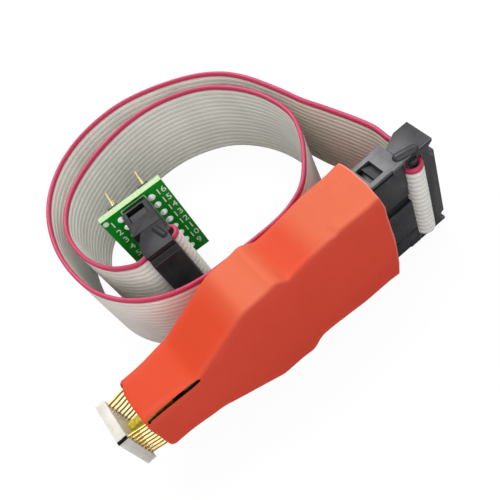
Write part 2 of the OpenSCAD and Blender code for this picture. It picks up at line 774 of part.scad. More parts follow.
// Solder on the face round the DIP pins and on the back round the header's pins
module adapter_solder() {
    color([0.85, 0.86, 0.88]) on_adapter() {
        for (i = row_n, x = [-dip_span / 2, dip_span / 2])
            translate([x, 0, i * header_pitch]) rotate([-90, 0, 0]) difference() {
                union() {
                    cylinder(r1 = 0.85, r2 = 0.45, h = 0.8);
                    translate([0, 0, -adapter_t]) cylinder(d = dip_hole_d, h = adapter_t);
                }
                translate([0, 0, -2 * adapter_t])
                    cylinder(d = dip_pin_d, h = 2 * adapter_t + 0.6);
            }
        for (i = row_n, x = [-header_pitch / 2, header_pitch / 2])
            translate([x, -adapter_t, i * header_pitch]) rotate([90, 0, 0]) difference() {
                cylinder(r1 = 0.8, r2 = 0.45, h = 0.7);
                translate([-pin_w / 2, -pin_w / 2, -EPS]) cube([pin_w, pin_w, 0.5 + EPS]);
            }
    }
}

module dip_strip(x) {
    w = 2.4;
    color([0.1, 0.1, 0.11]) on_adapter() difference() {
        block([x - w / 2, -adapter_t - strip_t, -header_l / 2],
            [x + w / 2, -adapter_t, header_l / 2]);
        for (i = row_n)
            translate([x, -adapter_t - strip_t / 2, i * header_pitch]) rotate([90, 0, 0])
                cylinder(d = 1.3, h = 2 * strip_t, center = true);
        for (s = [-1, 1])
            block([s > 0 ? x + 0.6 : x - 2, -adapter_t - 0.8, -header_l],
                [s > 0 ? x + 2 : x - 0.6, 1 - adapter_t, header_l]);
    }
}

// Turned pins: collar in the strip, thin pin below it, tail through the board
module dip_pins(x) {
    color([0.9, 0.78, 0.4]) on_adapter()
        for (i = row_n)
            translate([x, -adapter_t, i * header_pitch]) rotate([90, 0, 0]) {
                translate([0, 0, -adapter_t - 0.6]) cylinder(d = dip_pin_d, h = adapter_t + 0.6);
                cylinder(d = 1.3, h = strip_t);
                translate([0, 0, strip_t]) cylinder(d = dip_pin_d, h = dip_pin_l - 0.3);
                translate([0, 0, strip_t + dip_pin_l - 0.3])
                    cylinder(d1 = dip_pin_d, d2 = dip_pin_d * 0.5, h = 0.3);
            }
}

module left_dip_strip() {
    dip_strip(dip_span / 2);
}

module right_dip_strip() {
    dip_strip(-dip_span / 2);
}

module left_dip_pins() {
    dip_pins(dip_span / 2);
}

module right_dip_pins() {
    dip_pins(-dip_span / 2);
}

sleeve();
guide_frame();
pin_one_mark();
centre_post();
front_spacer();
near_board();
far_board();
clip_header_base();
clip_header_pins();
header_solder();
near_contact_tails();
far_contact_tails();
tail_solder();
near_contacts();
far_contacts();
clip_socket_body();
clip_socket_contacts();
clip_socket_cover();
clip_strain_relief();
clip_ribbon_fold();
ribbon_cable();
adapter_ribbon_fold();
adapter_socket_body();
adapter_socket_contacts();
adapter_socket_cover();
adapter_strain_relief();
adapter_board();
adapter_header_base();
adapter_header_pins();
adapter_solder();
left_dip_strip();
right_dip_strip();
left_dip_pins();
right_dip_pins();
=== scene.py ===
"""Dressed model of a test clip for surface-mounted chips, with its ribbon and its adapter board.

Some sizes come from the CAD nodes of model.glb, and each piece hangs from an empty for its body.
Each operator makes one piece or one group of like pieces, in millimetres in that piece's own axes,
and puts it in place in metres.
"""

import math

import bmesh
import bpy
import numpy as np
from mathutils import Euler, Matrix, Vector
from mathutils.bvhtree import BVHTree


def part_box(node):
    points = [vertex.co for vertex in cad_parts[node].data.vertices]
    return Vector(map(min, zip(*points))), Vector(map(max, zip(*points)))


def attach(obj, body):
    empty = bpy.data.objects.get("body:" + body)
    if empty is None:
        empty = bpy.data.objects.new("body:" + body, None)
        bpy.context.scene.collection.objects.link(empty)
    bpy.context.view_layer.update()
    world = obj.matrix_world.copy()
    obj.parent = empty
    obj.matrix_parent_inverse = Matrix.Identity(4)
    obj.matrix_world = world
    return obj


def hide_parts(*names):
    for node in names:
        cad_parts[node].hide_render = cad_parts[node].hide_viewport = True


bl_info = {
    "name": "IC test clip",
    "version": (1, 0, 0),
    "blender": (4, 5, 0),
    "location": "3D View > Sidebar > Test clip",
    "description": "Makes a chip test clip with its ribbon and adapter board",
    "category": "Object",
}

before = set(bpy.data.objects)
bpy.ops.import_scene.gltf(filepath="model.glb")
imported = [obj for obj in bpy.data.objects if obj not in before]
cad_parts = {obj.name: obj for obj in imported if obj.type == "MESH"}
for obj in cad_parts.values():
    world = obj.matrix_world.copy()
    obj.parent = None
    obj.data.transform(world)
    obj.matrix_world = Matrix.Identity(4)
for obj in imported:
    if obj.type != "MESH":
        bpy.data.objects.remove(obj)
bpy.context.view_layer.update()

MM = 0.001


def node_box(name):
    """Lowest and highest corner of a CAD node, in millimetres."""
    return [[v / MM for v in corner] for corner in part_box(name)]


# ---- where things are, in millimetres ----

NOSE_X = node_box("guide_frame")[1][0]
AXIS_Z = node_box("sleeve")[1][2] / 2
SOCKET_HEIGHT = 14.3
SOCKET_HALF = 3.05
SOCKET_BODY = 7.6
COVER = 2.1
FOLD_AT = 2.75
RIBBON_THICK = 0.9
PITCH = 2.54
FINE_PITCH = 1.27
PINS = 8
WIRES = 2 * PINS
FIRST = -(PINS - 1) / 2  # the first pin of a row, in pitches from its middle
HEADER_X = 18.5
BOARD_FACE = 4.14
BOARD_THICK = 1.6
DIP_ROW = 3.81
HEADER_ROW = 1.27

CLIP = Matrix.Translation((-NOSE_X, 0, AXIS_Z))
CLIP_SOCKET = (
    CLIP
    @ Matrix.Translation((SOCKET_HEIGHT, 0, 0))
    @ Euler((math.pi / 2, 0, -math.pi / 2)).to_matrix().to_4x4()
)
BOARD = Matrix.Translation((8.5, -33.0, 12.4)) @ Euler(
    [math.radians(a) for a in (4, 2, -6)]
).to_matrix().to_4x4()
BOARD_SOCKET = BOARD @ Matrix.Translation((0, 2.6, 0)) @ Matrix.Rotation(-math.pi / 2, 4, "X")

# Middle of the ribbon's free stretch, from one strain relief to the other
RIBBON_ROUTE = (
    (-33.6, -3.05, 13.6), (-33.6, -5.55, 13.6),
    (-33.7, -9, 13.6), (-33, -15, 12.9), (-32, -21.5, 12), (-31, -28, 11),
    (-30, -36, 10.4), (-28, -45, 10.2), (-25, -51.5, 10.2), (-20, -57, 10.2),
    (-12.5, -61.8, 10.2), (-4, -64.9, 10.2), (5, -64.9, 10.2), (13, -62.2, 10.2),
    (19.5, -57, 10.2), (24, -50, 10.2), (26.5, -41, 10.2), (26.7, -32, 10.2),
    (25, -24, 10.2), (21, -17.5, 10.2), (15.5, -13, 10.2), (8.5, -10.5, 10.2),
    (0, -9.7, 10.2), (-9, -9.5, 10.2), (-14, -10.5, 10.2), (-18, -12.6, 10.2),
    (-22, -17, 10.2), (-25.5, -22.5, 10.2), (-27.6, -29, 10.2), (-27, -37.5, 10.2),
    (-24, -45.5, 10.2), (-19, -52, 10.2), (-11, -56.6, 10.2), (-3, -58, 10.2),
    (5, -57, 10.2), (13, -54, 10.2), (19, -49.5, 10.2), (22.6, -43, 10.3),
    (23.2, -36, 10.6), (22, -29.5, 11.2), (19.2, -24, 11.8),
    (15.5, -20.05, 13.15), (13.0, -19.8, 13.25),
)


def tone(red, green, blue):
    """A display colour from 0 to 255 as the linear values that a shader takes."""
    return tuple(
        v / 12.92 if v <= 0.04045 else ((v + 0.055) / 1.055) ** 2.4
        for v in (red / 255, green / 255, blue / 255)
    )


def colour(name, description, rgb):
    """A colour property of the panel."""
    return bpy.props.FloatVectorProperty(
        name=name,
        description=description,
        subtype="COLOR",
        size=3,
        min=0,
        max=1,
        default=tone(*rgb),
    )


def length(name, description, default, low, high):
    """A length property of the panel, from values in millimetres."""
    return bpy.props.FloatProperty(
        name=name,
        description=description,
        default=default * MM,
        min=low * MM,
        max=high * MM,
        unit="LENGTH",
    )


class ClipColours(bpy.types.PropertyGroup):
    """Colours of the visible materials."""

    sleeve: colour("Sleeve", "Heat-shrink tube round the clip", (230, 78, 57))
    # The lit and sheened colours are painted light on the sleeve's top.
    lit: colour("Sleeve on top", "Heat-shrink tube where it faces up", (215, 67, 33))
    faded: colour("Sleeve faded", "Heat-shrink tube on top, where it has faded", (220, 107, 73))
    ribbon: colour("Ribbon", "Insulation of the ribbon", (240, 240, 236))
    first: colour("First conductor", "Coloured edge of the ribbon", (194, 50, 92))
    moulding: colour("Black mouldings", "Sockets, headers and pin strips", (42, 42, 46))
    nylon: colour("Guide frame", "Natural plastic of the guide frame", (214, 209, 199))
    amber: colour("Post", "Block between the two rows of contacts", (250, 216, 60))
    gold: colour("Gold", "Plating of the header and DIP pins", (248, 234, 176))
    spring: colour("Contact gold", "Plating of the spring contacts", (200, 164, 84))
    mask: colour("Solder mask", "Face of the adapter board", (0, 142, 26))


class ClipSizes(bpy.types.PropertyGroup):
    """Fine sizes that the CAD solids leave plain."""

    edge: length("Edge radius", "Rounding of the edges of moulded pieces", 0.07, 0.02, 0.2)
    groove: length(
        "Ribbon groove", "Depth of the groove between two conductors, on each face", 0.28, 0.1, 0.4
    )
    wave: length(
        "Sleeve unevenness", "How far the shrunk tube sinks between what it lies on", 0.06, 0, 0.3
    )
    legend: length(
        "Pin number height", "Height of the pin numbers on the adapter board", 1.65, 1, 2
    )


# ---- materials ----


def arithmetic(operation):
    """A method that joins a field and another value in one maths node."""

    def method(self, other):
        return self.home.node("ShaderNodeMath", {"operation": operation}, (self, other))

    return method


class Field:
    """A number's socket in a tree, which Python arithmetic works on."""

    def __init__(self, home, socket):
        self.home, self.socket = home, socket

    __add__ = arithmetic("ADD")
    __sub__ = arithmetic("SUBTRACT")
    __mul__ = arithmetic("MULTIPLY")
    over = arithmetic("GREATER_THAN")
    most = arithmetic("MAXIMUM")

    def limited(self):
        return self.home.node("ShaderNodeClamp", {}, (self, 0.0, 1.0))

    def step(self, low, high):
        """0 at low and 1 at high, smooth between them, in either direction."""
        return self.home.node(
            "ShaderNodeMapRange",
            {"interpolation_type": "SMOOTHSTEP"},
            (self, low, high, 0.0, 1.0),
        )


class Tree:
    """A node tree, of a material, a world or Geometry Nodes."""

    def __init__(self, tree):
        self.tree = tree
        tree.nodes.clear()

    def node(self, kind, settings=None, values=(), out=0):
        """Adds a node, sets it up, feeds its sockets in order or by name, and gives the output."""
        made = self.tree.nodes.new(kind)
        for key, value in (settings or {}).items():
            setattr(made, key, value)
        pairs = values.items() if isinstance(values, dict) else enumerate(values)
        for key, value in pairs:
            if isinstance(value, Field):
                self.tree.links.new(value.socket, made.inputs[key])
            elif value is not None:
                made.inputs[key].default_value = value
        return Field(self, made.outputs[out]) if made.outputs else None


class Finish(Tree):
    """One material and its tree."""

    def __init__(self, name):
        self.material = bpy.data.materials.new(name)
        self.material.use_nodes = True
        super().__init__(self.material.node_tree)

    def place(self):
        """Object coordinates, in metres."""
        return self.node("ShaderNodeTexCoord", out="Object")

    def along(self, axis):
        """Distance along X, Y or Z from the origin, in metres."""
        return self.node("ShaderNodeSeparateXYZ", {}, (self.place(),), out=axis)

    def attribute(self, name):
        return self.node("ShaderNodeAttribute", {"attribute_name": name}, out="Fac")

    def stretched(self, x, y, z, source=None):
        """Coordinates scaled by x, y and z."""
        source = source or self.place()
        return self.node("ShaderNodeMapping", {}, {"Vector": source, "Scale": (x, y, z)})

    def noise(self, scale, detail=3.0, rough=0.55, where=None):
        """Noise whose features are about 1 / scale metres across."""
        return self.node(
            "ShaderNodeTexNoise",
            {"noise_dimensions": "3D"},
            {
                "Vector": where or self.place(),
                "Scale": scale,
                "Detail": detail,
                "Roughness": rough,
            },
        )

    def mix(self, factor, a, b, blend="MIX"):
        """Mix of two colours."""
        made = self.tree.nodes.new("ShaderNodeMix")
        made.data_type = "RGBA"
        made.blend_type = blend
        for key, value in ((0, factor), (6, a), (7, b)):
            if isinstance(value, Field):
                self.tree.links.new(value.socket, made.inputs[key])
            else:
                made.inputs[key].default_value = value if key == 0 else (*value[:3], 1.0)
        return Field(self, made.outputs[2])

    def bump(self, height, depth, strength=1.0, under=None):
        """Bump from a height of 0 to 1 that stands for depth metres."""
        values = {"Height": height, "Distance": depth, "Strength": strength}
        if under:
            values["Normal"] = under
        return self.node("ShaderNodeBump", {}, values)

    def surface(self, **values):
        """Ends the tree in one principled shader, fed by its sockets' names in small letters."""
        fed = {}
        for key, value in values.items():
            key = key.replace("_", " ").title().replace("Ior", "IOR")
            if "Color" in key and isinstance(value, tuple):
                value = (*value, 1.0)
            fed[key] = value
        shader = self.node("ShaderNodeBsdfPrincipled", {}, fed)
        self.node("ShaderNodeOutputMaterial", {}, {"Surface": shader})
        return self.material


def shade(rgb, level):
    """A colour made lighter or darker, within 0 to 1."""
    return tuple(min(1.0, max(0.0, v * level)) for v in rgb)


def heat_shrink(rgb, lit, faded):
    """Shrunk tube: matt sheen, faint draw lines, paler over the edges that stretch it.

    Where it faces up it takes the lit colour, a painted light, and where that top is flat, at the
    rear and over the boards' shoulder, it takes the sheened colour, a painted sheen.
    """
    f = Finish("Heat shrink")
    cloud = f.noise(60.0, 3.0)
    speck = f.noise(900.0, 2.0)
    lines = f.noise(1.0, 2.0, where=f.stretched(90.0, 1100.0, 1100.0))
    ridge = f.attribute("ridge")
    along = f.along("X")
    rear = along.step(-0.006, -0.0115)
    shoulder = along.step(-0.0035, -0.0005) * along.step(0.012, 0.005)
    # Painted light: faces that look up take the lit colour, and the flat top at the rear and over
    # the shoulder takes the sheened colour, a painted sheen.
    top = f.mix((rear + shoulder).limited() * 0.85 + 0.1, lit, faded)
    base = f.mix(f.attribute("up"), rgb, top)
    base = f.mix(cloud.step(0.3, 0.7) * 0.12, base, shade(rgb, 0.6))
    base = f.mix(speck.step(0.6, 0.75) * 0.1, base, shade(rgb, 0.5))
    base = f.mix(ridge.limited() * 0.1, base, tuple(min(1.0, v + 0.12) for v in rgb))
    base = f.mix((ridge - 1.0).limited() * 0.45, base, tone(244, 168, 156))
    # Painted shade: the inner wall, marked -1, is painted dark as the shade inside the tube.
    base = f.mix((ridge * -1.0).limited(), base, shade(rgb, 0.25))
    rough = cloud * 0.14 + speck * 0.08 + 0.38
    fine = f.bump(speck, 0.00002, 0.5)
    wavy = f.bump(lines, 0.00003, 0.5, fine)
    soft = f.bump(cloud, 0.00035, 0.4, wavy)
    return f.surface(
        base_color=base, roughness=rough, normal=soft, specular_ior_level=0.11, ior=1.5
    )


def shrink_cut(rgb):
    """Cut wall of the tube, painted near black as the shade deep in the slit."""
    f = Finish("Shrink tube cut")
    cloud = f.noise(900.0, 3.0)
    base = f.mix(cloud.step(0.3, 0.7), shade(rgb, 0.05), shade(rgb, 0.12))
    return f.surface(base_color=base, roughness=cloud * 0.2 + 0.5)


def ribbon_insulation(rgb, first):
    """Ribbon: soft grey insulation that shows the wires faintly, the first conductor coloured.

    It is painted a little yellower where it leaves the clip's socket, a painted warm reflection.
    """
    f = Finish("Ribbon insulation")
    across = f.attribute("across")
    turn = across * (2.0 * math.pi)
    rib = f.node("ShaderNodeMath", {"operation": "COSINE"}, (turn,)) * -0.5 + 0.5
    cloud = f.noise(140.0, 3.0)
    dust = f.noise(1500.0, 2.0)
    base = f.mix(cloud.step(0.3, 0.7), shade(rgb, 0.95), shade(rgb, 1.04))
    base = f.mix(rib.step(0.72, 1.0) * 0.22, base, tone(196, 182, 160))
    # Painted shade in the grooves between the conductors.
    base = f.mix(rib.step(0.3, 0.0) * 0.45, base, tone(184, 170, 128))
    # Painted reflection: a warm yellow tint over the stretch by the clip's socket, placed by
    # position.
    east, north = f.along("X"), f.along("Y")
    warm_reflection = east.step(-0.0275, -0.0305) * north.step(-0.038, -0.028)
    warm_reflection = warm_reflection * north.step(-0.0045, -0.007)
    base = f.mix(warm_reflection * 0.2, base, tone(240, 220, 168))
    pink = f.mix(rib.step(0.5, 1.0) * 0.3, first, shade(first, 1.35))
    pink = f.mix(dust.step(0.5, 0.8) * 0.2, pink, shade(first, 0.75))
    base = f.mix(across.over(WIRES - 0.75), base, pink)
    rough = cloud * 0.1 + 0.36
    return f.surface(
        base_color=base,
        roughness=rough,
        normal=f.bump(dust, 0.00002, 0.4),
        coat_weight=0.05,
    )


def black_moulding(rgb, name="Black moulding", rubbed=0.6, gloss=0.5, worn=1.0):
    """Glass-filled black plastic: fine grain, flow clouds, and edges rubbed a little grey.

    Above the height worn it is painted lighter grey, broken by scuffs: partly scuffs and partly a
    painted highlight on its top.
    """
    f = Finish(name)
    cloud = f.noise(260.0, 4.0, 0.65)
    grain = f.noise(5200.0, 2.0)
    scuff = f.noise(1.0, 4.0, 0.7, where=f.stretched(700.0, 2600.0, 420.0))
    base = f.mix(cloud.step(0.35, 0.7), shade(rgb, 0.65), shade(rgb, 1.3))
    base = f.mix(scuff.step(0.58, 0.72) * rubbed * 0.6, base, tone(120, 120, 122))
    # Painted highlight on the top above the height worn, broken up by scuffs.
    top = f.along("Z").step(worn, worn + 0.0008)
    base = f.mix(top * (scuff * 0.9 + 0.2), base, tone(124, 124, 127))
    # Painted shade: faces shut in by the piece's own walls are darkened.
    base = f.mix(f.attribute("hollow"), base, shade(rgb, 0.1))
    edge = f.attribute("edge")
    base = f.mix(edge.limited() * rubbed, base, tone(150, 150, 154))
    rough = cloud * 0.22 + scuff * 0.12 + 0.24
    normal = f.bump(scuff, 0.00004, 0.5, f.bump(grain, 0.00001, 0.5))
    return f.surface(base_color=base, roughness=rough, normal=normal, specular_ior_level=gloss)


def plated_gold(rgb, name="Gold plating"):
    """Gold flash over nickel: brushed by the rolling, a touch duller in patches."""
    f = Finish(name)
    cloud = f.noise(900.0, 3.0)
    drawn = f.noise(1.0, 2.0, where=f.stretched(600.0, 9000.0, 9000.0))
    base = f.mix(cloud.step(0.35, 0.75), rgb, shade(rgb, 0.82))
    rough = drawn * 0.14 + cloud * 0.1 + 0.14
    return f.surface(
        base_color=base,
        metallic=1.0,
        roughness=rough,
        normal=f.bump(drawn, 0.000006, 0.5),
    )


def bright_solder(level=1.0, name="Solder"):
    """Solder joint: bright, slightly frosted where it froze last, with a faint painted glow that
    makes it look whiter; a low level paints it dark, as solder in shade.
    """
    f = Finish(name)
    frost = f.noise(2600.0, 4.0, 0.7)
    base = f.mix(
        frost.step(0.4, 0.7), shade(tone(250, 251, 253), level), shade(tone(214, 216, 219), level)
    )
    rough = frost * 0.35 + 0.2
    return f.surface(
        base_color=base,
        metallic=0.2,
        roughness=rough,
        # Painted glow: the joint gives off a little light of its own, scaled with level.
        emission_color=tone(250, 251, 253),
        emission_strength=0.14 * level * level,
        normal=f.bump(frost, 0.00006, 0.6),
    )


def natural_nylon(rgb):
    """Milky moulding that lets some light through, with a faint painted glow that lifts its shaded
    faces.
    """
    f = Finish("Natural nylon")
    milk = f.noise(420.0, 3.0)
    grain = f.noise(4000.0, 2.0)
    base = f.mix(milk.step(0.35, 0.7), shade(rgb, 0.93), shade(rgb, 1.04))
    rough = milk * 0.15 + 0.25
    return f.surface(
        base_color=base,
        roughness=rough,
        normal=f.bump(grain, 0.00001, 0.4),
        subsurface_weight=1.0,
        subsurface_radius=(1.0, 0.95, 0.85),
        subsurface_scale=0.002,
        # Painted glow: a little light of its own, to lift the faces in shade.
        emission_color=shade(rgb, 0.95),
        emission_strength=0.11,
        specular_ior_level=0.25,
        ior=1.53,
    )


def amber_plastic(rgb):
    """Amber block, clear at its edges and cloudy inside, with a faint painted glow that brightens
    it.
    """
    f = Finish("Amber plastic")
    cloud = f.noise(1300.0, 4.0, 0.7)
    base = f.mix(cloud.step(0.35, 0.7), shade(rgb, 0.55), shade(rgb, 1.2))
    rough = cloud * 0.2 + 0.12
    return f.surface(
        base_color=base,
        roughness=rough,
        normal=f.bump(cloud, 0.00012, 0.8),
        # Painted glow: a little light of its own, to brighten the block.
        emission_color=shade(rgb, 0.8),
        emission_strength=0.1,
    )


def solder_mask(rgb, name="Solder mask", rough=0.35, gloss=0.16):
    """Lacquer over copper and laminate, a little uneven."""
    f = Finish(name)
    weave = f.noise(1.0, 1.0, where=f.stretched(2600.0, 2600.0, 900.0))
    cloud = f.noise(300.0, 3.0)
    base = f.mix(cloud.step(0.35, 0.7), shade(rgb, 0.88), shade(rgb, 1.12))
    base = f.mix(weave.step(0.55, 0.75) * 0.2, base, shade(rgb, 1.5))
    return f.surface(
        base_color=base,
        roughness=cloud * 0.12 + rough,
        normal=f.bump(weave, 0.00001, 0.4),
        specular_ior_level=gloss,
    )


def cut_laminate():
    """Sawn edge of the board: pale resin with layers of glass cloth."""
    f = Finish("Laminate edge")
    fibre = f.noise(1.0, 3.0, 0.7, where=f.stretched(1500.0, 7000.0, 1500.0))
    base = f.mix(fibre.step(0.35, 0.65), tone(172, 204, 148), tone(204, 226, 180))
    return f.surface(
        base_color=base,
        roughness=fibre * 0.2 + 0.55,
        normal=f.bump(fibre, 0.00003, 0.7),
    )


def legend_ink():
    """White ink of the legend, thin at its edges."""
    f = Finish("Legend ink")
    worn = f.noise(3500.0, 3.0)
    base = f.mix(worn.step(0.3, 0.6), tone(206, 226, 204), tone(246, 248, 244))
    return f.surface(base_color=base, roughness=worn * 0.2 + 0.45)


def mark_ink():
    """Flat black of the pin 1 mark."""
    f = Finish("Mark ink")
    cloud = f.noise(1500.0, 3.0)
    base = f.mix(cloud, tone(6, 6, 6), tone(18, 18, 18))
    return f.surface(base_color=base, roughness=cloud * 0.2 + 0.6, specular_ior_level=0.1)


def copper_strand():
    """Cut end of a tinned conductor."""
    f = Finish("Cut conductor")
    cloud = f.noise(6000.0, 2.0)
    base = f.mix(cloud.step(0.4, 0.6), tone(206, 150, 112), tone(224, 214, 204))
    return f.surface(base_color=base, metallic=1.0, roughness=cloud * 0.2 + 0.25)


FINISHES = {}


def finish(name):
    """The named material, made once from the panel's colours."""
    if name not in FINISHES:
        chosen = bpy.context.scene.clip_colours
        c = {key: tuple(getattr(chosen, key)) for key in ClipColours.__annotations__}
        make = {
            "sleeve": lambda: heat_shrink(c["sleeve"], c["lit"], c["faded"]),
            "sleeve cut": lambda: shrink_cut(c["sleeve"]),
            "ribbon": lambda: ribbon_insulation(c["ribbon"], c["first"]),
            "black": lambda: black_moulding(c["moulding"]),
            "scuffed black": lambda: black_moulding(
                c["moulding"], "Scuffed black moulding", worn=(AXIS_Z + 11.5) * MM
            ),
            "deep black": lambda: black_moulding(
                shade(c["moulding"], 0.6), "New black moulding", 0.15, 0.25
            ),
            "gold": lambda: plated_gold(c["gold"]),
            "spring gold": lambda: plated_gold(c["spring"], "Contact plating"),
            "shaded gold": lambda: plated_gold(shade(c["spring"], 0.12), "Plating in shade"),
            "solder": bright_solder,
            # Solder inside the clip, painted dark as in shade.
            "shaded solder": lambda: bright_solder(0.08, "Solder in shade"),
            "nylon": lambda: natural_nylon(c["nylon"]),
            "amber": lambda: amber_plastic(c["amber"]),
            "mask": lambda: solder_mask(c["mask"]),
            # Board faces inside the clip, painted dark as in shade.
            "shaded mask": lambda: solder_mask(shade(c["mask"], 0.1), "Mask in shade", 0.6, 0.1),
            "trace": lambda: solder_mask(shade(c["mask"], 1.7), "Covered copper"),
            "laminate": cut_laminate,
            "legend": legend_ink,
            "mark": mark_ink,
            "copper": copper_strand,
        }
        FINISHES[name] = make[name]()
    return FINISHES[name]


# ---- meshes ----


def to_metres(place=Matrix.Identity(4)):
    """Matrix that takes millimetres in a piece's axes to metres in the frame."""
    return Matrix.Scale(MM, 4) @ place


def add_object(name, mesh, materials=()):
    """Links a mesh as an object with these materials."""
    made = bpy.data.objects.new(name, mesh)
    bpy.context.scene.collection.objects.link(made)
    for m in materials:
        mesh.materials.append(finish(m))
    return made


def settled(made, body, angle=35.0, replaces=()):
    """Shades a finished piece, puts it on its body and lets it stand for CAD nodes."""
    made.data.shade_smooth()
    made.data.set_sharp_from_angle(angle=math.radians(angle))
    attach(made, body)
    if replaces:
        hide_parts(*replaces)
    return made


def mesh_of(name, points, faces, matrix):
    """A closed mesh from points in millimetres, taken through a matrix."""
    mesh = bpy.data.meshes.new(name)
    mesh.from_pydata([tuple(p) for p in points], [], faces)
    mesh.transform(matrix)
    mesh.validate()
    b = bmesh.new()
    b.from_mesh(mesh)
    bmesh.ops.recalc_face_normals(b, faces=b.faces)
    b.to_mesh(mesh)
    b.free()
    return mesh


def evaluated(made):
    """A new mesh of what an object makes."""
    bpy.context.view_layer.update()
    graph = bpy.context.evaluated_depsgraph_get()
    return bpy.data.meshes.new_from_object(
        made.evaluated_get(graph), preserve_all_data_layers=True, depsgraph=graph
    )


def applied(made):
    """Turns an object's modifiers into its mesh."""
    mesh = evaluated(made)
    old = made.data
    made.modifiers.clear()
    made.data = mesh
    mesh.name = made.name
    bpy.data.meshes.remove(old)
    return made


def tag(mesh, name, values, domain="POINT"):
    """Gives a mesh an attribute with one number to each point or face."""
    made = mesh.attributes.new(name, "FLOAT", domain)
    made.data.foreach_set("value", np.array(values, np.float32))


def tagged_edges(mesh):
    """Marks the narrow faces that a bevel made, so that a material can rub them."""
    narrow, small = 0.00009, 2.0e-9
    marks = []
    for face in mesh.polygons:
        corners = [mesh.vertices[v].co for v in face.vertices]
        side = min((corners[i] - corners[i - 1]).length for i in range(len(corners)))
        marks.append(side < narrow or face.area < small)
    tag(mesh, "edge", marks, "FACE")


def tagged_hollows(mesh):
    """Marks how far each face is shut in by the piece's own walls, as the attribute hollow, which
    paints shade into its recesses.
    """
    reach, lift, gain = 0.006, 1e-6, 1.6
    tree = BVHTree.FromPolygons(
        [v.co for v in mesh.vertices], [tuple(p.vertices) for p in mesh.polygons]
    )
    rays = [
        Vector((math.cos(t) * math.sin(a), math.sin(t) * math.sin(a), math.cos(a)))
        for a in (0.3, 0.7, 1.1, 1.35)
        for t in [math.pi * k / 4 + a for k in range(8)]
    ]
    shut = []
    for face in mesh.polygons:
        turn = face.normal.to_track_quat("Z", "Y")
        start = face.center + face.normal * lift
        hits = sum(tree.ray_cast(start, turn @ ray, reach)[0] is not None for ray in rays)
        shut.append(min(1.0, gain * hits / len(rays)))
    tag(mesh, "hollow", shut, "FACE")


def dressed(node, material, body, edge=None):
    """A copy of a CAD node with its triangles joined and its edges rounded, by edge in metres."""
    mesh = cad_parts[node].data.copy()
    mesh.materials.clear()
    b = bmesh.new()
    b.from_mesh(mesh)
    weld, flat = 2e-6, math.radians(1.0)
    bmesh.ops.remove_doubles(b, verts=b.verts, dist=weld)
    bmesh.ops.dissolve_limit(b, angle_limit=flat, verts=b.verts, edges=b.edges)
    b.to_mesh(mesh)
    b.free()
    made = add_object(node.title().replace("_", ""), mesh, (material,))
    bevel = made.modifiers.new("Edge", "BEVEL")
    bevel.width = edge or bpy.context.scene.clip_sizes.edge
    bevel.segments = 2
    bevel.limit_method = "ANGLE"
    bevel.angle_limit = math.radians(40)
    bevel.use_clamp_overlap = True
    applied(made)
    tagged_edges(made.data)
    # Black mouldings get the hollow attribute, for painted shade in their recesses.
    if "black" in material:
        tagged_hollows(made.data)
    return settled(made, body, 30.0, (node,))


def swept(sections):
    """Points and quads of a tube through sections of as many points each, closed at both ends."""
    n, m = len(sections), len(sections[0])
    points = [p for section in sections for p in section]
    faces = [
        (i * m + j, i * m + (j + 1) % m, (i + 1) * m + (j + 1) % m, (i + 1) * m + j)
        for i in range(n - 1)
        for j in range(m)
    ]
    return points, faces, n, m


def lathe(profile, around=24, turn=None):
    """A closed turned solid from (radius, z) pairs, in bmesh.

    It lies along +Z, or is turned from there by (degrees, axis).
    """
    b = bmesh.new()
    angles = [2 * math.pi * k / around for k in range(around)]
    rings = [
        [b.verts.new((radius * math.cos(a), radius * math.sin(a), z)) for a in angles]
        for radius, z in profile
    ]
    for low, high in zip(rings, rings[1:]):
        for k in range(around):
            b.faces.new((low[k], low[(k + 1) % around], high[(k + 1) % around], high[k]))
    b.faces.new(list(reversed(rings[0])))
    b.faces.new(rings[-1])
    bmesh.ops.recalc_face_normals(b, faces=b.faces)
    if turn:
        matrix = Matrix.Rotation(math.radians(turn[0]), 3, turn[1])
        bmesh.ops.rotate(b, verts=b.verts, matrix=matrix)
    return b


def slab(b, start, end, half, low, high, side=1):
    """Adds a straight strip to a bmesh: half its width, from one level to the other along Y."""
    (a0, v0), (a1, v1) = start, end
    n = Vector((-(v1 - v0), a1 - a0)).normalized() * half
    ring = [
        (a0 + n.x, v0 + n.y), (a1 + n.x, v1 + n.y), (a1 - n.x, v1 - n.y), (a0 - n.x, v0 - n.y),
    ]
    bottom = [b.verts.new((side * a, low, z)) for a, z in ring]
    top = [b.verts.new((side * a, high, z)) for a, z in ring]
    b.faces.new(bottom)
    b.faces.new(top)
    for k in range(4):
        b.faces.new((bottom[k], bottom[(k + 1) % 4], top[(k + 1) % 4], top[k]))


def mesh_from(b, name):
    """Ends a bmesh in a mesh of that name."""
    mesh = bpy.data.meshes.new(name)
    b.to_mesh(mesh)
    b.free()
    return mesh


def placed(b, name, place, look, body, angle=30):
    """Ends a bmesh in an object on its body."""
    mesh = mesh_from(b, name)
    mesh.transform(to_metres(place))
    return settled(add_object(name, mesh, (look,)), body, angle)


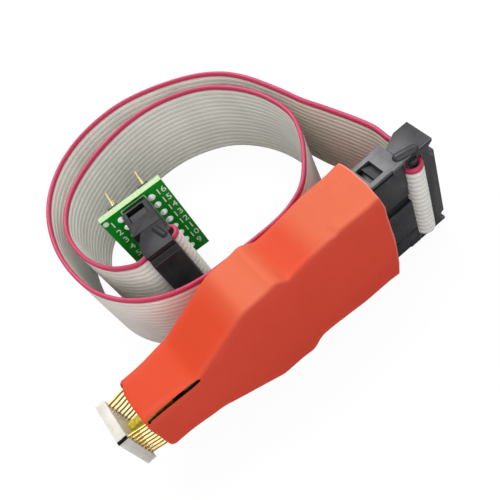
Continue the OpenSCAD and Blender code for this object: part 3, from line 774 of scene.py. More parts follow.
def row_tree():
    """Geometry Nodes: one piece repeated along a row, each a little uneven.

    A second row can be the first one turned half round.
    """
    name = "Row of pieces"
    if name in bpy.data.node_groups:
        return bpy.data.node_groups[name]
    group = bpy.data.node_groups.new(name, "GeometryNodeTree")
    t = Tree(group)
    face = group.interface
    face.new_socket("Geometry", in_out="OUTPUT", socket_type="NodeSocketGeometry")
    for label, kind, value in (
        ("Piece", "NodeSocketObject", None),
        ("Count", "NodeSocketInt", PINS),
        ("Start", "NodeSocketVector", (0.0, 0.0, 0.0)),
        ("Pitch", "NodeSocketVector", (0.0, 0.0, FINE_PITCH)),
        ("Second row turn", "NodeSocketVector", (math.pi, 0.0, 0.0)),
        ("Second row", "NodeSocketBool", False),
        ("Unevenness", "NodeSocketFloat", 0.0),
        ("Seed", "NodeSocketInt", 1),
        ("Material", "NodeSocketMaterial", None),
    ):
        socket = face.new_socket(label, in_out="INPUT", socket_type=kind)
        if value is not None:
            socket.default_value = value
    given = {s.name: Field(t, s) for s in group.nodes.new("NodeGroupInput").outputs}
    uneven, seed = given["Unevenness"], given["Seed"]
    line = t.node(
        "GeometryNodeMeshLine",
        {"mode": "OFFSET"},
        {"Count": given["Count"], "Start Location": given["Start"], "Offset": given["Pitch"]},
    )
    piece = t.node("GeometryNodeObjectInfo", {}, {"Object": given["Piece"]}, "Geometry")
    spin = t.node(
        "FunctionNodeRandomValue",
        {"data_type": "FLOAT_VECTOR"},
        {0: uneven * -1.0, 1: uneven, "Seed": seed},
    )
    size = t.node(
        "FunctionNodeRandomValue",
        {"data_type": "FLOAT_VECTOR"},
        {0: uneven * -1.6 + 1.0, 1: (1.0, 1.0, 1.0), "Seed": seed},
    )
    row = t.node(
        "GeometryNodeInstanceOnPoints",
        {},
        {"Points": line, "Instance": piece, "Rotation": spin, "Scale": size},
    )
    turned = t.node(
        "GeometryNodeTransform", {}, {"Geometry": row, "Rotation": given["Second row turn"]}
    )
    second = t.node(
        "GeometryNodeSwitch", {"input_type": "GEOMETRY"}, {0: given["Second row"], 2: turned}
    )
    join = t.node("GeometryNodeJoinGeometry", {}, (row,))
    group.links.new(second.socket, join.socket.node.inputs[0])
    real = t.node("GeometryNodeRealizeInstances", {}, (join,))
    paint = t.node(
        "GeometryNodeSetMaterial", {}, {"Geometry": real, "Material": given["Material"]}
    )
    t.node("NodeGroupOutput", {}, (paint,))
    return group


def in_rows(
    name, piece_mesh, place, body, material, at, pitch, slot,
    replaces=(), angle=35.0, count=PINS, axis=2, **more
):
    """Repeats a piece with the row tree, makes it a plain mesh and puts it in place.

    The row runs along one axis, and at is its middle.
    """
    start, step = list(at), [0.0, 0.0, 0.0]
    start[axis] = -(count - 1) / 2 * pitch
    step[axis] = pitch
    single = bpy.data.objects.new(name + "_single", piece_mesh)
    bpy.context.scene.collection.objects.link(single)
    made = add_object(name, bpy.data.meshes.new(name))
    rows = made.modifiers.new("Rows", "NODES")
    tree = row_tree()
    rows.node_group = tree
    values = {"Piece": single, "Count": count, "Start": start, "Pitch": step}
    values |= {"Material": finish(material), **more}
    for socket in tree.interface.items_tree:
        if socket.in_out == "INPUT" and socket.name in values:
            rows[socket.identifier] = values[socket.name]
    applied(made)
    bpy.data.objects.remove(single)
    made.data.transform(to_metres(place))
    return settled(made, body, angle, replaces)


# ---- the ribbon ----


def ribbon_outline():
    """Half section of the ribbon as (across, half thickness), one rounded rib to a conductor."""
    groove = bpy.context.scene.clip_sizes.groove / MM
    points = []
    steps, edge = 3, 0.3
    for wire in range(WIRES):
        middle = (wire - (WIRES - 1) / 2) * FINE_PITCH
        last = wire == WIRES - 1
        for part in range(-steps, steps + last):
            t = part / steps
            depth = groove * (1 - math.sqrt(max(0.0, 1 - abs(t) ** 2.6)))
            if wire == 0 and part == -steps or last and part == steps:
                depth = edge
            points.append((middle + t * FINE_PITCH / 2, RIBBON_THICK / 2 - depth))
    return points


def ribbon_sections(centres, sides, highs):
    """Sections of the ribbon at each centre: its thickness along side, its width along high."""
    outline = ribbon_outline()
    sections = []
    for centre, side, high in zip(centres, sides, highs):
        ring = [centre + side * thick + high * at for at, thick in outline]
        ring += [centre - side * thick + high * at for at, thick in reversed(outline)]
        sections.append(ring)
    return sections


def ribbon_mesh(name, centres, sides, highs, place=Matrix.Identity(4)):
    """The ribbon's mesh, with the conductor count across it as an attribute."""
    points, faces, n, m = swept(ribbon_sections(centres, sides, highs))
    half = m // 2
    for end in (0, n - 1):
        for j in range(half - 1):
            quad = (end * m + j, end * m + j + 1, end * m + m - 2 - j, end * m + m - 1 - j)
            faces.append(quad if end else tuple(reversed(quad)))
    mesh = mesh_of(name, points, faces, to_metres(place))
    across = [at / FINE_PITCH + 8 for at, _ in ribbon_outline()]
    tag(mesh, "across", (across + across[::-1]) * n)
    return mesh


def smooth_route(points, parts):
    """A smooth line through the points, with that many parts to each stretch."""
    p = [Vector(q) for q in points]
    line = []
    for i in range(len(p) - 1):
        a, b, c, d = p[max(i - 1, 0)], p[i], p[i + 1], p[min(i + 2, len(p) - 1)]
        for k in range(parts):
            t = k / parts
            square, cube = 2 * a - 5 * b + 4 * c - d, 3 * b - a - 3 * c + d
            line.append(0.5 * (2 * b + (c - a) * t + square * t * t + cube * t**3))
    line.append(p[-1])
    return line


class CLIP_OT_camera(bpy.types.Operator):
    """Camera above the near side, looking down along the clip and into the loop"""

    bl_idname = "clip.camera"
    bl_label = "Camera"

    def execute(self, context):
        lens = bpy.data.cameras.new("Camera")
        lens.sensor_width = 36
        lens.lens = 49.5
        lens.clip_start = 0.005
        lens.clip_end = 10
        camera = bpy.data.objects.new("Camera", lens)
        context.scene.collection.objects.link(camera)
        camera.location = (0.01192, 0.066306, 0.119781)
        camera.rotation_euler = Euler([math.radians(a) for a in (32.81, 18.66, 143.19)])
        context.scene.camera = camera
        return {"FINISHED"}


class CLIP_OT_ribbon(bpy.types.Operator):
    """Free stretch of the ribbon, standing on its edge in one loop and a half"""

    bl_idname = "clip.ribbon"
    bl_label = "Ribbon"

    def execute(self, context):
        line = smooth_route(RIBBON_ROUTE, 6)
        last, turning = len(line) - 1, 36
        board_up = (BOARD.to_3x3() @ Vector((0, 0, 1))).normalized()
        board_in = (BOARD.to_3x3() @ Vector((-1, 0, 0))).normalized()
        sides, highs = [], []
        for i, point in enumerate(line):
            if i == 0:
                along = Vector((0, -1, 0))
            elif i == last:
                along = board_in
            else:
                along = line[i + 1] - line[i - 1]
            lean = max(0.0, (i - last + turning) / turning)
            up = Vector((0, 0, 1)).lerp(board_up, lean)
            side = along.cross(up).normalized()
            sides.append(side)
            highs.append(side.cross(along).normalized())
        mesh = ribbon_mesh("RibbonCable", line, sides, highs)
        made = add_object("RibbonCable", mesh, ("ribbon",))
        settled(made, "lead", 75.0, ("ribbon_cable",))
        return {"FINISHED"}


def fold_piece(name, node, place):
    """The ribbon through a socket, round the cover and out under the strap, with its cut wires."""
    h0 = SOCKET_BODY + RIBBON_THICK / 2
    h1 = h0 + COVER + RIBBON_THICK
    mid, radius = (h0 + h1) / 2, (h1 - h0) / 2
    flat, bend = 8, 18
    step = (SOCKET_HALF + FOLD_AT) / flat
    turns = [math.pi * k / bend for k in range(1, bend)]
    path = [(SOCKET_HALF - k * step, h0) for k in range(flat + 1)]
    path += [(-FOLD_AT - radius * math.sin(a), mid - radius * math.cos(a)) for a in turns]
    path += [(-FOLD_AT + k * step, h1) for k in range(flat + 1)]
    centres, sides, highs = [], [], []
    for i, (u, h) in enumerate(path):
        a, b = path[max(i - 1, 0)], path[min(i + 1, len(path) - 1)]
        along = Vector((b[0] - a[0], 0, b[1] - a[1])).normalized()
        up = Vector((0, 1 if place is CLIP_SOCKET else -1, 0))
        side = along.cross(up).normalized()
        centres.append(Vector((u, 0, h)))
        sides.append(side)
        highs.append(up)
    mesh = ribbon_mesh(name, centres, sides, highs, place)
    made = add_object(name, mesh, ("ribbon",))
    settled(made, "lead", 75.0, (node,))
    strand = lathe([(0.17, 0), (0.17, 0.03), (0.12, 0.045)], 12, (90, "Y"))
    in_rows(
        name + "Wires", mesh_from(strand, name + "Wire"), place, "lead", "copper",
        (SOCKET_HALF - 0.01, 0.0, h0), FINE_PITCH, "ribbon", count=WIRES, axis=1,
    )
    return made


class CLIP_OT_folds(bpy.types.Operator):
    """Ribbon folded round the cover of each socket"""

    bl_idname = "clip.folds"
    bl_label = "Ribbon folds"

    def execute(self, context):
        fold_piece("ClipFold", "clip_ribbon_fold", CLIP_SOCKET)
        fold_piece("AdapterFold", "adapter_ribbon_fold", BOARD_SOCKET)
        return {"FINISHED"}


# ---- the sleeve ----

BOARD_X0 = node_box("near_board")[0][0] + NOSE_X
BOARD_X1 = node_box("near_board")[1][0] + NOSE_X
BOARD_LENGTH = BOARD_X1 - BOARD_X0
SLEEVE_X0 = node_box("sleeve")[0][0] + NOSE_X
SLEEVE_X1 = node_box("sleeve")[1][0] + NOSE_X
SLEEVE_WALL = 0.75
SKIN = 0.85
SKIN_Y = BOARD_FACE + 0.35 + SKIN
TAILS_X = BOARD_X1 - 7.5
BEAD_X, BEAD_Y = BOARD_X1 - 5.7, 3.96

# Keys of the sleeve's form along the clip: half widths of the boards inside, by share of
# their length, and how far the tube stands off them
BOARD_KEYS = (
    (0.0, 12.3), (0.19, 12.1), (0.27, 11.5), (0.36, 10.95), (0.42, 10.8), (0.475, 12.95),
    (0.52, 12.45), (0.63, 12.3), (0.89, 5.65), (0.93, 5.5), (1.0, 5.5),
)
BULGE_KEYS = (
    (BOARD_X0 + 0.58 * BOARD_LENGTH, 0.0), (TAILS_X, 0.35), (BOARD_X1 - 3.5, 0.35),
    (BOARD_X1 + 2.5, 0.1), (SLEEVE_X1, 0.1),
)
LIFT_KEYS = (
    (SLEEVE_X0, 0.75), (BOARD_X0 + 0.14 * BOARD_LENGTH, 0.4),
    (BOARD_X0 + 0.27 * BOARD_LENGTH, 0.1), (BOARD_X0 + 0.36 * BOARD_LENGTH, 0.0),
    (BOARD_X0 + 0.45 * BOARD_LENGTH, 0.45), (BOARD_X0 + 0.56 * BOARD_LENGTH, 0.35),
    (BOARD_X0 + 0.8 * BOARD_LENGTH, 0.4), (TAILS_X, 0.35), (BOARD_X1 - 3.5, 0.35),
    (BOARD_X1 + 2.5, 0.1), (SLEEVE_X1, 0.1),
)
MOUTH_KEYS = ((SLEEVE_X0, 0.25), (SLEEVE_X0 + 1.3, 0.25), (SLEEVE_X0 + 3.3, 0.0))
CORNER_KEYS = ((SLEEVE_X0, 0.6), (BOARD_X1 - 4, 0.6), (BOARD_X1 + 1, 1.6), (SLEEVE_X1, 1.6))


def averaged(keys, x, reach):
    """A line through (x, value) keys, rounded by averaging it over reach on each side."""
    xs, values = zip(*keys)
    return sum(np.interp(x + reach * k / 3, xs, values) for k in range(-3, 4)) / 7


def sleeve_half_width(x):
    """Half width, a little wider round the socket at the rear mouth."""
    keys = [(BOARD_X0 + k * BOARD_LENGTH, v) for k, v in BOARD_KEYS]
    return averaged(keys, x, 0.8) + SKIN + averaged(MOUTH_KEYS, x, 0)


def sleeve_far(x):
    """Half thickness, save at the upper near corner."""
    return SKIN_Y + averaged(BULGE_KEYS, x, 2)


def sleeve_near(x):
    """Half thickness at the upper near corner."""
    return SKIN_Y + averaged(LIFT_KEYS, x, 1)


def sleeve_ring(x, inside, counts):
    """One ring of the sleeve as (y, z, ridge), anticlockwise seen from the nose."""
    far, near = sleeve_far(x) - inside, sleeve_near(x) - inside
    w = sleeve_half_width(x) - inside
    r = max(0.05, averaged(CORNER_KEYS, x, 2) - inside)
    arc, tall, flat = counts
    corners = ((near - r, w - r), (r - far, w - r), (r - far, r - w), (far - r, r - w))
    ring = []
    for quarter, (cy, cz) in enumerate(corners):
        for k in range(arc + 1):
            a = math.radians(90 * quarter + 90 * k / arc)
            ring.append((cy + r * math.cos(a), cz + r * math.sin(a), 1.0))
        a = math.radians(90 * quarter + 90)
        ny, nz = corners[(quarter + 1) % 4]
        here = (cy + r * math.cos(a), cz + r * math.sin(a))
        there = (ny + r * math.cos(a), nz + r * math.sin(a))
        steps = flat if quarter % 2 == 0 else tall
        for k in range(1, steps):
            f = k / steps
            away = min(f, 1 - f) * 2
            y, z = (start + (stop - start) * f for start, stop in zip(here, there))
            ring.append((y, z, max(0.0, 1 - away * 5)))
    return ring


def near_to(value, middle, width):
    """1 at the middle, falling off to 0 over about the width on each side."""
    return math.exp(-(((value - middle) / width) ** 2))


def sleeve_sink(x, y, z):
    """How far the shrunk tube sinks at a point, in millimetres.

    It sinks in slow waves, between the header's solder joints, and in two creases at a corner.
    """
    deep = bpy.context.scene.clip_sizes.wave / MM
    slow = (
        math.sin(0.31 * x + 0.23 * z + 1.1)
        + math.sin(0.17 * x - 0.37 * z + 0.4)
        + math.sin(0.71 * x + 0.11 * z)
    ) / 6
    pins = near_to(x, HEADER_X, 1.5) * (0.5 - 0.5 * math.cos(2 * math.pi * (z / PITCH + 0.5)))
    folds = 0.0
    if z > 0 and y > 0:
        corner = near_to(y, 4.9, 1.3) * near_to(z, sleeve_half_width(x), 1.6)
        folds = corner * (0.32 * near_to(x, 24.2, 0.8) + 0.3 * near_to(x, 34.9, 0.7))
    return deep * (0.5 + slow) + 0.05 * pins + folds


def mouth_shift(x, y, z):
    """How far a point of either mouth lies from the tube's end plane, in millimetres.

    The edge wanders in waves, and each corner is drawn back by a length of its own.
    """
    corner = max(0.0, abs(z) / sleeve_half_width(x) - 0.72) / 0.28
    corner *= max(0.0, abs(y) / sleeve_far(x) - 0.4) / 0.6
    corner = min(corner, 1.2)
    if x > BOARD_X0 + BOARD_LENGTH / 2:
        back = (0.15 if y > 0 else 1.2) if z > 0 else (1.3 if y > 0 else 0.8)
        return 0.04 * math.sin(1.3 * z + 0.8 * y) - 0.05 - back * corner
    back = 0.4 if z > 0 and y < 0 else 0.75
    wave = 0.22 + 0.16 * math.sin(0.33 * z + 0.5 * y + 2.4) + 0.02 * math.sin(1.1 * z + y)
    return max(0.0, wave) + back * corner


class CLIP_OT_sleeve(bpy.types.Operator):
    """Heat-shrink tube drawn tight over the boards, open at its ends and split along one corner"""

    bl_idname = "clip.sleeve"
    bl_label = "Sleeve"

    def execute(self, context):
        stations, reach, rim, lip = 190, 3.0, 0.12, 0.3
        counts = (8, 26, 12)  # of steps to a corner, a broad face and a narrow one
        step = (SLEEVE_X1 - SLEEVE_X0) / stations
        outer = [SLEEVE_X0 + step * k for k in range(stations + 1)]
        inner = [SLEEVE_X1, SLEEVE_X1 - lip]
        inner += [outer[k] for k in range(stations - 4, 3, -4)] + [SLEEVE_X0 + lip, SLEEVE_X0]
        sections, ridges = [], []
        for x, wall in [(x, 0.0) for x in outer] + [(x, SLEEVE_WALL) for x in inner]:
            at_end = x in (SLEEVE_X0, SLEEVE_X1)
            inside = abs(wall - rim) if at_end else wall
            near_end = max(0.0, 1 - (x - SLEEVE_X0) / reach) ** 2
            near_nose = max(0.0, 1 - (SLEEVE_X1 - x) / reach) ** 2
            ring = []
            for y, z, ridge in sleeve_ring(x, inside, counts):
                sink = 0.0 if wall else sleeve_sink(x, y, z)
                shift = (near_end + near_nose) * mouth_shift(x, y, z)
                if abs(z) / sleeve_half_width(x) >= 0.93:
                    z -= math.copysign(sink, z)
                elif abs(y) > 4:
                    y -= math.copysign(sink, y)
                ring.append((x + shift, y, z))
                mark = 2.0 if x < SLEEVE_X0 + lip else ridge
                # The inner wall is marked -1, for the painted shade inside the tube.
                ridges.append(mark if wall == 0.0 else -1.0)
            sections.append(ring)
        points, faces, n, m = swept(sections)
        last = (n - 1) * m
        faces += [(last + j, last + (j + 1) % m, (j + 1) % m, j) for j in range(m)]
        mesh = mesh_of("Sleeve", points, faces, to_metres(CLIP))
        tag(mesh, "ridge", ridges)
        # up: how much each point faces up, for the painted light on the sleeve's top.
        normals = np.empty(len(mesh.vertices) * 3)
        mesh.vertices.foreach_get("normal", normals)
        tag(mesh, "up", np.clip(normals[2::3], 0, 1))
        made = add_object("Sleeve", mesh, ("sleeve", "sleeve cut"))
        blade = self.blade()
        cut = made.modifiers.new("Slit", "BOOLEAN")
        cut.operation = "DIFFERENCE"
        cut.solver = "EXACT"
        cut.object = blade
        applied(made)
        bpy.data.objects.remove(blade)
        settled(made, "clip", 40.0, ("sleeve",))
        return {"FINISHED"}

    def blade(self):
        """The solid that splits the tube's corner, hooked at its front end."""
        length, width = 11.2, 0.75
        mid = SLEEVE_X1 - 0.8 - length / 2
        top, side = sleeve_half_width(mid), sleeve_near(mid)
        fall = sleeve_near(mid + length / 2) - sleeve_near(mid - length / 2)
        shape = [
            (length * 0.52, 0.4), (length / 2, -0.2), (length * 0.47, -0.36),
            (length / 4, -width * 0.48), (0, -width * 0.48), (-length * 0.32, -width * 0.5),
            (-length * 0.46, -width * 0.38), (-length / 2, 0), (-length * 0.46, width * 0.38),
            (-length * 0.32, width * 0.5), (0, width * 0.48), (length / 4, width * 0.46),
            (length * 0.46, width * 0.42), (length * 0.49, 0.55),
        ]
        n, reach = len(shape), 2.5
        points = [(x, y, z) for z in (-reach, reach) for x, y in shape]
        faces = [tuple(reversed(range(n))), tuple(range(n, 2 * n))]
        faces += [(k, (k + 1) % n, n + (k + 1) % n, n + k) for k in range(n)]
        place = (
            CLIP
            @ Matrix.Translation((mid, side - 0.5, top - 0.5))
            @ Euler((math.radians(-45), 0, math.atan2(fall, length))).to_matrix().to_4x4()
        )
        return add_object(
            "Blade", mesh_of("Blade", points, faces, to_metres(place)), ("sleeve cut",)
        )


# ---- inside the clip ----


class CLIP_OT_boards(bpy.types.Operator):
    """Fan-out boards, their spacer, the header between them and its solder"""

    bl_idname = "clip.boards"
    bl_label = "Boards and header"

    def execute(self, context):
        # The boards inside the tube are painted dark, as in shade.
        dressed("near_board", "shaded mask", "clip", 0.00004)
        dressed("far_board", "shaded mask", "clip", 0.00004)
        dressed("front_spacer", "black", "clip")
        dressed("clip_header_base", "black", "clip")
        dressed("clip_header_pins", "gold", "clip", 0.00003)
        # The contact tails inside the tube take gold painted dark as in shade.
        dressed("near_contact_tails", "shaded gold", "clip", 0.00003)
        dressed("far_contact_tails", "shaded gold", "clip", 0.00003)
        joint = [(0.85, 0), (0.7, 0.1), (0.56, 0.22), (0.4, 0.33), (0.05, 0.35)]
        bead = [
            (0.1, 0), (0.35, 0.12), (0.52, 0.5), (0.55, 1.5), (0.55, 2.8), (0.45, 3.5), (0.1, 3.9),
        ]
        for name, node, profile, turn, at, pitch, seed in (
            (
                "HeaderSolder", "header_solder", joint, (-90, "X"),
                (HEADER_X, BOARD_FACE, 0.0), PITCH, 4,
            ),
            ("TailSolder", "tail_solder", bead, (90, "Y"), (BEAD_X, BEAD_Y, 0.0), FINE_PITCH, 7),
        ):
            single = mesh_from(lathe(profile, 20, turn), "Joint")
            # The joints inside the clip take solder painted dark as in shade.
            in_rows(
                name, single, CLIP, "clip", "shaded solder", at, pitch, "solder", (node,),
                **{"Second row": True, "Seed": seed},
            )
        return {"FINISHED"}


class CLIP_OT_contacts(bpy.types.Operator):
    """Two rows of spring contacts, each strip with chamfered edges"""

    bl_idname = "clip.contacts"
    bl_label = "Spring contacts"

    def execute(self, context):
        for side, node, name, body in (
            (1, "near_contacts", "NearContacts", "near_row"),
            (-1, "far_contacts", "FarContacts", "far_row"),
        ):
            in_rows(
                name, self.strip(side), CLIP, body, "spring gold", (0.0, 0.0, 0.0), FINE_PITCH,
                "gold_plate", (node,), Seed=3,
            )
        return {"FINISHED"}

    def strip(self, side):
        """One contact at the middle of its row, with chamfered edges.

        It leaves the board at x0 and y0, bends in, and hooks inwards past x1 and y1.
        """
        half, w, c = 0.125, 0.3, 0.04
        y0 = BOARD_FACE + half
        y1 = y0 - 0.45
        x0, bend, x1 = BOARD_X1 + 0.145, BOARD_X1 + 6.82, 71.6
        line = [
            (x0, y0), (bend - 1.2, y0), (bend - 0.5, y0 - 0.02), (bend + 0.3, y0 - 0.1),
            (x1 - 0.9, y1 + 0.06), (x1 - 0.3, y1), (x1 + 0.4, y1 - 0.08),
            (x1 + 0.75, y1 - 0.3), (x1 + 0.95, y1 - 0.42), (x1 + 1.15, y1 - 0.34),
            (x1 + 1.4, y1 - 0.06),
        ]
        sections = []
        for i, (x, y) in enumerate(line):
            a, b = line[max(i - 1, 0)], line[min(i + 1, len(line) - 1)]
            along = Vector((b[0] - a[0], b[1] - a[1])).normalized()
            nx, ny = -along.y * half, along.x * half
            outline = (
                (1, c - w), (1 - c / half, -w), (c / half - 1, -w), (-1, c - w),
                (-1, w - c), (c / half - 1, w), (1 - c / half, w), (1, w - c),
            )
            sections.append([(x + nx * t, side * (y + ny * t), z) for t, z in outline])
        points, faces, n, m = swept(sections)
        faces += [tuple(range(m)), tuple(range((n - 1) * m, n * m))]
        return mesh_of("Contact", points, faces, Matrix.Identity(4))


class CLIP_OT_nose(bpy.types.Operator):
    """Guide frame, its pin 1 mark and the amber post that carries it"""

    bl_idname = "clip.nose"
    bl_label = "Guide frame"

    def execute(self, context):
        dressed("guide_frame", "nylon", "clip", 0.00005)
        dressed("pin_one_mark", "mark", "clip", 0.00002)
        dressed("centre_post", "amber", "clip", 0.0004)
        return {"FINISHED"}


# ---- sockets ----


class CLIP_OT_sockets(bpy.types.Operator):
    """The two crimped sockets: body, contacts, cover and strain relief of each"""

    bl_idname = "clip.sockets"
    bl_label = "Sockets"

    def execute(self, context):
        for end, look, cover, place, radius, start in (
            ("clip", "black", "scuffed black", CLIP_SOCKET, 1.0, (-1.55, 12.2, 7.75)),
            ("adapter", "deep black", "deep black", BOARD_SOCKET, 0.8, (-1.35, 12.1, 9.1)),
        ):
            dressed(end + "_socket_body", look, "lead")
            dressed(end + "_socket_cover", cover, "lead")
            dressed(end + "_strain_relief", look, "lead")
            dressed(end + "_socket_contacts", "gold", "lead", 0.00002)
            for side, word in ((1, "Upper"), (-1, "Lower")):
                name = f"{end.title()}Finger{word}"
                at = Vector((start[0], side * start[1], start[2]))
                self.finger(name, place, look, radius, at)
        return {"FINISHED"}

    def finger(self, name, place, look, radius, start):
        """Rounded bar on one end of the strain relief, beside the ribbon's fold."""
        run = Vector((-0.8, 0, 2.9))
        arc = [math.radians(k) for k in range(10, 91, 16)]
        ends = [(radius * math.sin(t), -radius * math.cos(t)) for t in arc]
        ends += [(radius * math.sin(t), run.length + radius * math.cos(t)) for t in reversed(arc)]
        turn = run.to_track_quat("Z", "Y").to_matrix().to_4x4()
        at = place @ Matrix.Translation(start) @ turn
        placed(lathe(ends), name, at, look, "lead", 40)


# ---- the adapter ----


class CLIP_OT_board(bpy.types.Operator):
    """Adapter board: masked faces, sawn edges, covered traces and its legend"""

    bl_idname = "clip.board"
    bl_label = "Adapter board"

    def execute(self, context):
        made = dressed("adapter_board", "mask", "adapter", 0.00005)
        mesh = made.data
        mesh.materials.append(finish("laminate"))
        face = (BOARD.to_3x3() @ Vector((0, 1, 0))).normalized()
        for polygon in mesh.polygons:
            polygon.material_index = int(abs(polygon.normal.dot(face)) < 0.6)
        self.traces()
        self.legend(context)
        return {"FINISHED"}

    def traces(self):
        """Low ridges of lacquered copper between the two kinds of pads, on both faces."""
        half, lift, jog = 0.13, 0.02, 0.25
        b = bmesh.new()
        for row in range(PINS):
            v = (row + FIRST) * PITCH
            for side in (-1, 1):
                end = v + jog * side
                run = [(DIP_ROW - 0.8, v), (2.6, end), (HEADER_ROW + 0.6, end)]
                for face, up in ((0.0, lift), (-BOARD_THICK, -lift)):
                    for a, c in zip(run, run[1:]):
                        slab(b, a, c, half, face - up, face + up, side)
        bmesh.ops.recalc_face_normals(b, faces=b.faces)
        placed(b, "BoardTraces", BOARD, "trace", "adapter")

    def legend(self, context):
        """Pin numbers, the header's outline and the dot at pin 1, in white ink."""
        tall = context.scene.clip_sizes.legend / MM
        low, high = -0.01, 0.03
        b = bmesh.new()
        corners = [(2.85, 10.6), (-2.85, 10.6), (-2.85, -10.6), (2.85, -10.6)]
        for k, corner in enumerate(corners):
            slab(b, corner, corners[(k + 1) % 4], 0.08, low, high)
        dot = lathe([(0.62, low), (0.62, high)], 24, (-90, "X"))
        bmesh.ops.translate(dot, verts=dot.verts, vec=(6.75, 0, 10.2))
        inks = [mesh_from(dot, "Dot")]
        upright = Matrix(((-1, 0, 0, 0), (0, 0, 1, 0), (0, 1, 0, 0), (0, 0, 0, 1)))
        for row in range(PINS):
            v = -(row + FIRST) * PITCH
            for words, centre in ((row + 1, 5.75), (WIRES - row, -6.1)):
                number = self.number(str(words), tall)
                number.transform(Matrix.Translation((centre, 0.0, v)) @ upright)
                inks.append(number)
        for ink in inks:
            b.from_mesh(ink)
            bpy.data.meshes.remove(ink)
        bmesh.ops.recalc_face_normals(b, faces=b.faces)
        placed(b, "BoardLegend", BOARD, "legend", "adapter")

    def number(self, words, tall):
        """A number as a thin mesh, centred, in millimetres."""
        curve = bpy.data.curves.new("Number", "FONT")
        curve.body = words
        curve.size = tall * 1.38
        curve.align_x, curve.align_y = "CENTER", "CENTER"
        curve.extrude = 0.025
        curve.offset = 0.02
        holder = bpy.data.objects.new("Number", curve)
        bpy.context.scene.collection.objects.link(holder)
        mesh = evaluated(holder)
        bpy.data.objects.remove(holder)
        bpy.data.curves.remove(curve)
        return mesh


class CLIP_OT_board_pins(bpy.types.Operator):
    """Header, turned DIP pins in their strips, and the solder on both faces"""

    bl_idname = "clip.board_pins"
    bl_label = "Adapter pins"

    def execute(self, context):
        dressed("adapter_header_base", "black", "adapter")
        dressed("adapter_header_pins", "gold", "adapter", 0.00003)
        dressed("left_dip_strip", "black", "adapter")
        dressed("right_dip_strip", "black", "adapter")
        profile = [
            (0.22, -2.2), (0.25, -2.1), (0.25, 0.0), (0.65, 0.02), (0.65, 1.7), (0.6, 2.0),
            (0.52, 2.03), (0.38, 2.05), (0.37, 3.6), (0.26, 3.75), (0.25, 8.0), (0.2, 8.25),
            (0.1, 8.4),
        ]
        for at, node, name in (
            (DIP_ROW, "left_dip_pins", "LeftDipPins"),
            (-DIP_ROW, "right_dip_pins", "RightDipPins"),
        ):
            pin = mesh_from(lathe(profile, 20, (90, "X")), "DipPin")
            in_rows(
                name, pin, BOARD, "adapter", "gold", (at, -BOARD_THICK, 0.0), PITCH,
                "gold_plate", (node,), Seed=5,
            )
        self.solder()
        return {"FINISHED"}

    def solder(self):
        """Fillets round the DIP tails on the face and round the header tails on the back."""
        fillet = [
            (0.86, 0), (0.84, 0.05), (0.66, 0.14), (0.5, 0.3), (0.4, 0.5), (0.33, 0.7),
            (0.2, 0.82), (0.05, 0.86),
        ]
        for name, at, back in (
            ("FaceSolderLeft", DIP_ROW, False), ("FaceSolderRight", -DIP_ROW, False),
            ("BackSolderLeft", HEADER_ROW, True), ("BackSolderRight", -HEADER_ROW, True),
        ):
            tall, turn, face = (0.85, 90, -BOARD_THICK) if back else (1.0, -90, 0.0)
            joint = lathe([(r, z * tall) for r, z in fillet], 24, (turn, "X"))
            node = ("adapter_solder",) if name == "FaceSolderLeft" else ()
            in_rows(
                name, mesh_from(joint, "Joint"), BOARD, "adapter", "solder", (at, face, 0.0),
                PITCH, "solder", node, 60, Unevenness=0.12, Seed=11 + int(10 * at),
            )


# ---- the stage ----


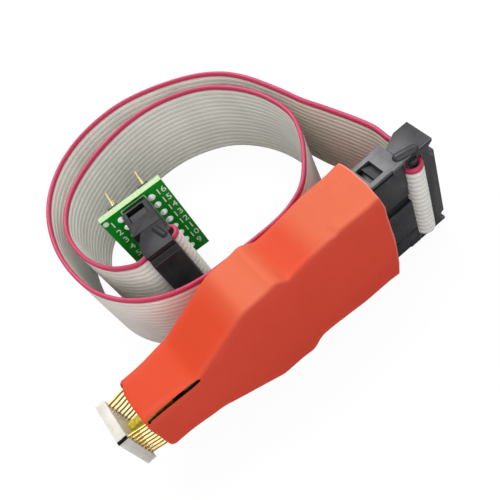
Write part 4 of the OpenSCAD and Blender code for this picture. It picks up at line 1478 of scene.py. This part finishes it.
class CLIP_OT_stage(bpy.types.Operator):
    """Plain white floor and surround with four soft lamps"""

    bl_idname = "clip.stage"
    bl_label = "Stage"

    def execute(self, context):
        scene = context.scene
        bpy.ops.mesh.primitive_plane_add(size=6, location=(0, 0, -0.00005))
        floor = context.object
        floor.name = "Floor"
        floor.data.materials.append(self.floor_finish())
        for name, place, size, power in (
            ("KeyLamp", (-0.04, -0.32, 0.5), 0.35, 2.3),
            ("SideLamp", (0.1, 0.5, 0.35), 0.4, 1.2),
            ("RimLamp", (-0.45, -0.1, 0.35), 0.3, 0.6),
            ("FillLamp", (0.5, 0.15, 0.25), 0.4, 0.25),
        ):
            light = bpy.data.lights.new(name, "AREA")
            light.energy = power
            light.size = size
            lamp = bpy.data.objects.new(name, light)
            lamp.location = place
            lamp.rotation_euler = (-Vector(place)).to_track_quat("-Z", "Y").to_euler()
            scene.collection.objects.link(lamp)
        world = bpy.data.worlds.new("Surround")
        scene.world = world
        world.use_nodes = True
        t = Tree(world.node_tree)
        camera, clear, glossy = (
            t.node("ShaderNodeLightPath", out=f"Is {kind} Ray")
            for kind in ("Camera", "Transmission", "Glossy")
        )
        sky = t.node(
            "ShaderNodeBackground", {}, {"Strength": camera.most(clear).most(glossy) * 0.45 + 0.55}
        )
        t.node("ShaderNodeOutputWorld", {}, (sky,))
        scene.view_settings.view_transform = "Standard"
        return {"FINISHED"}

    def floor_finish(self):
        """White paper that keeps a light shadow."""
        f = Finish("Paper")
        rays = f.node("ShaderNodeLightPath", out="Is Camera Ray")
        cloud = f.noise(8.0, 2.0)
        seen = f.mix(cloud, (0.86,) * 3, (0.9,) * 3)
        paper = f.node("ShaderNodeBsdfDiffuse", {}, {"Color": f.mix(rays, (0.42,) * 3, seen)})
        glow = f.node("ShaderNodeEmission", {}, {"Color": (1, 1, 1, 1), "Strength": 1.02})
        both = f.node("ShaderNodeMixShader", {}, (rays * 0.93, paper, glow))
        f.node("ShaderNodeOutputMaterial", {}, {"Surface": both})
        return f.material


PIECES = (
    CLIP_OT_camera,
    CLIP_OT_ribbon,
    CLIP_OT_folds,
    CLIP_OT_sleeve,
    CLIP_OT_boards,
    CLIP_OT_contacts,
    CLIP_OT_nose,
    CLIP_OT_sockets,
    CLIP_OT_board,
    CLIP_OT_board_pins,
    CLIP_OT_stage,
)


class CLIP_PT_panel(bpy.types.Panel):
    """Sidebar panel with the clip's colours, sizes and pieces"""

    bl_label = "Test clip"
    bl_idname = "CLIP_PT_panel"
    bl_space_type = "VIEW_3D"
    bl_region_type = "UI"
    bl_category = "Test clip"

    def draw(self, context):
        for group in (context.scene.clip_colours, context.scene.clip_sizes):
            for key in group.bl_rna.properties.keys():
                if key not in ("rna_type", "name"):
                    self.layout.prop(group, key)
        for piece in PIECES:
            self.layout.operator(piece.bl_idname)


CLASSES = (ClipColours, ClipSizes, *PIECES, CLIP_PT_panel)


def register():
    for made in CLASSES:
        bpy.utils.register_class(made)
    bpy.types.Scene.clip_colours = bpy.props.PointerProperty(type=ClipColours)
    bpy.types.Scene.clip_sizes = bpy.props.PointerProperty(type=ClipSizes)


def unregister():
    del bpy.types.Scene.clip_sizes
    del bpy.types.Scene.clip_colours
    for made in reversed(CLASSES):
        bpy.utils.unregister_class(made)


def main():
    """Makes every piece in order."""
    register()
    for piece in PIECES:
        group, name = piece.bl_idname.split(".")
        getattr(getattr(bpy.ops, group), name)()


if __name__ == "__main__":
    main()
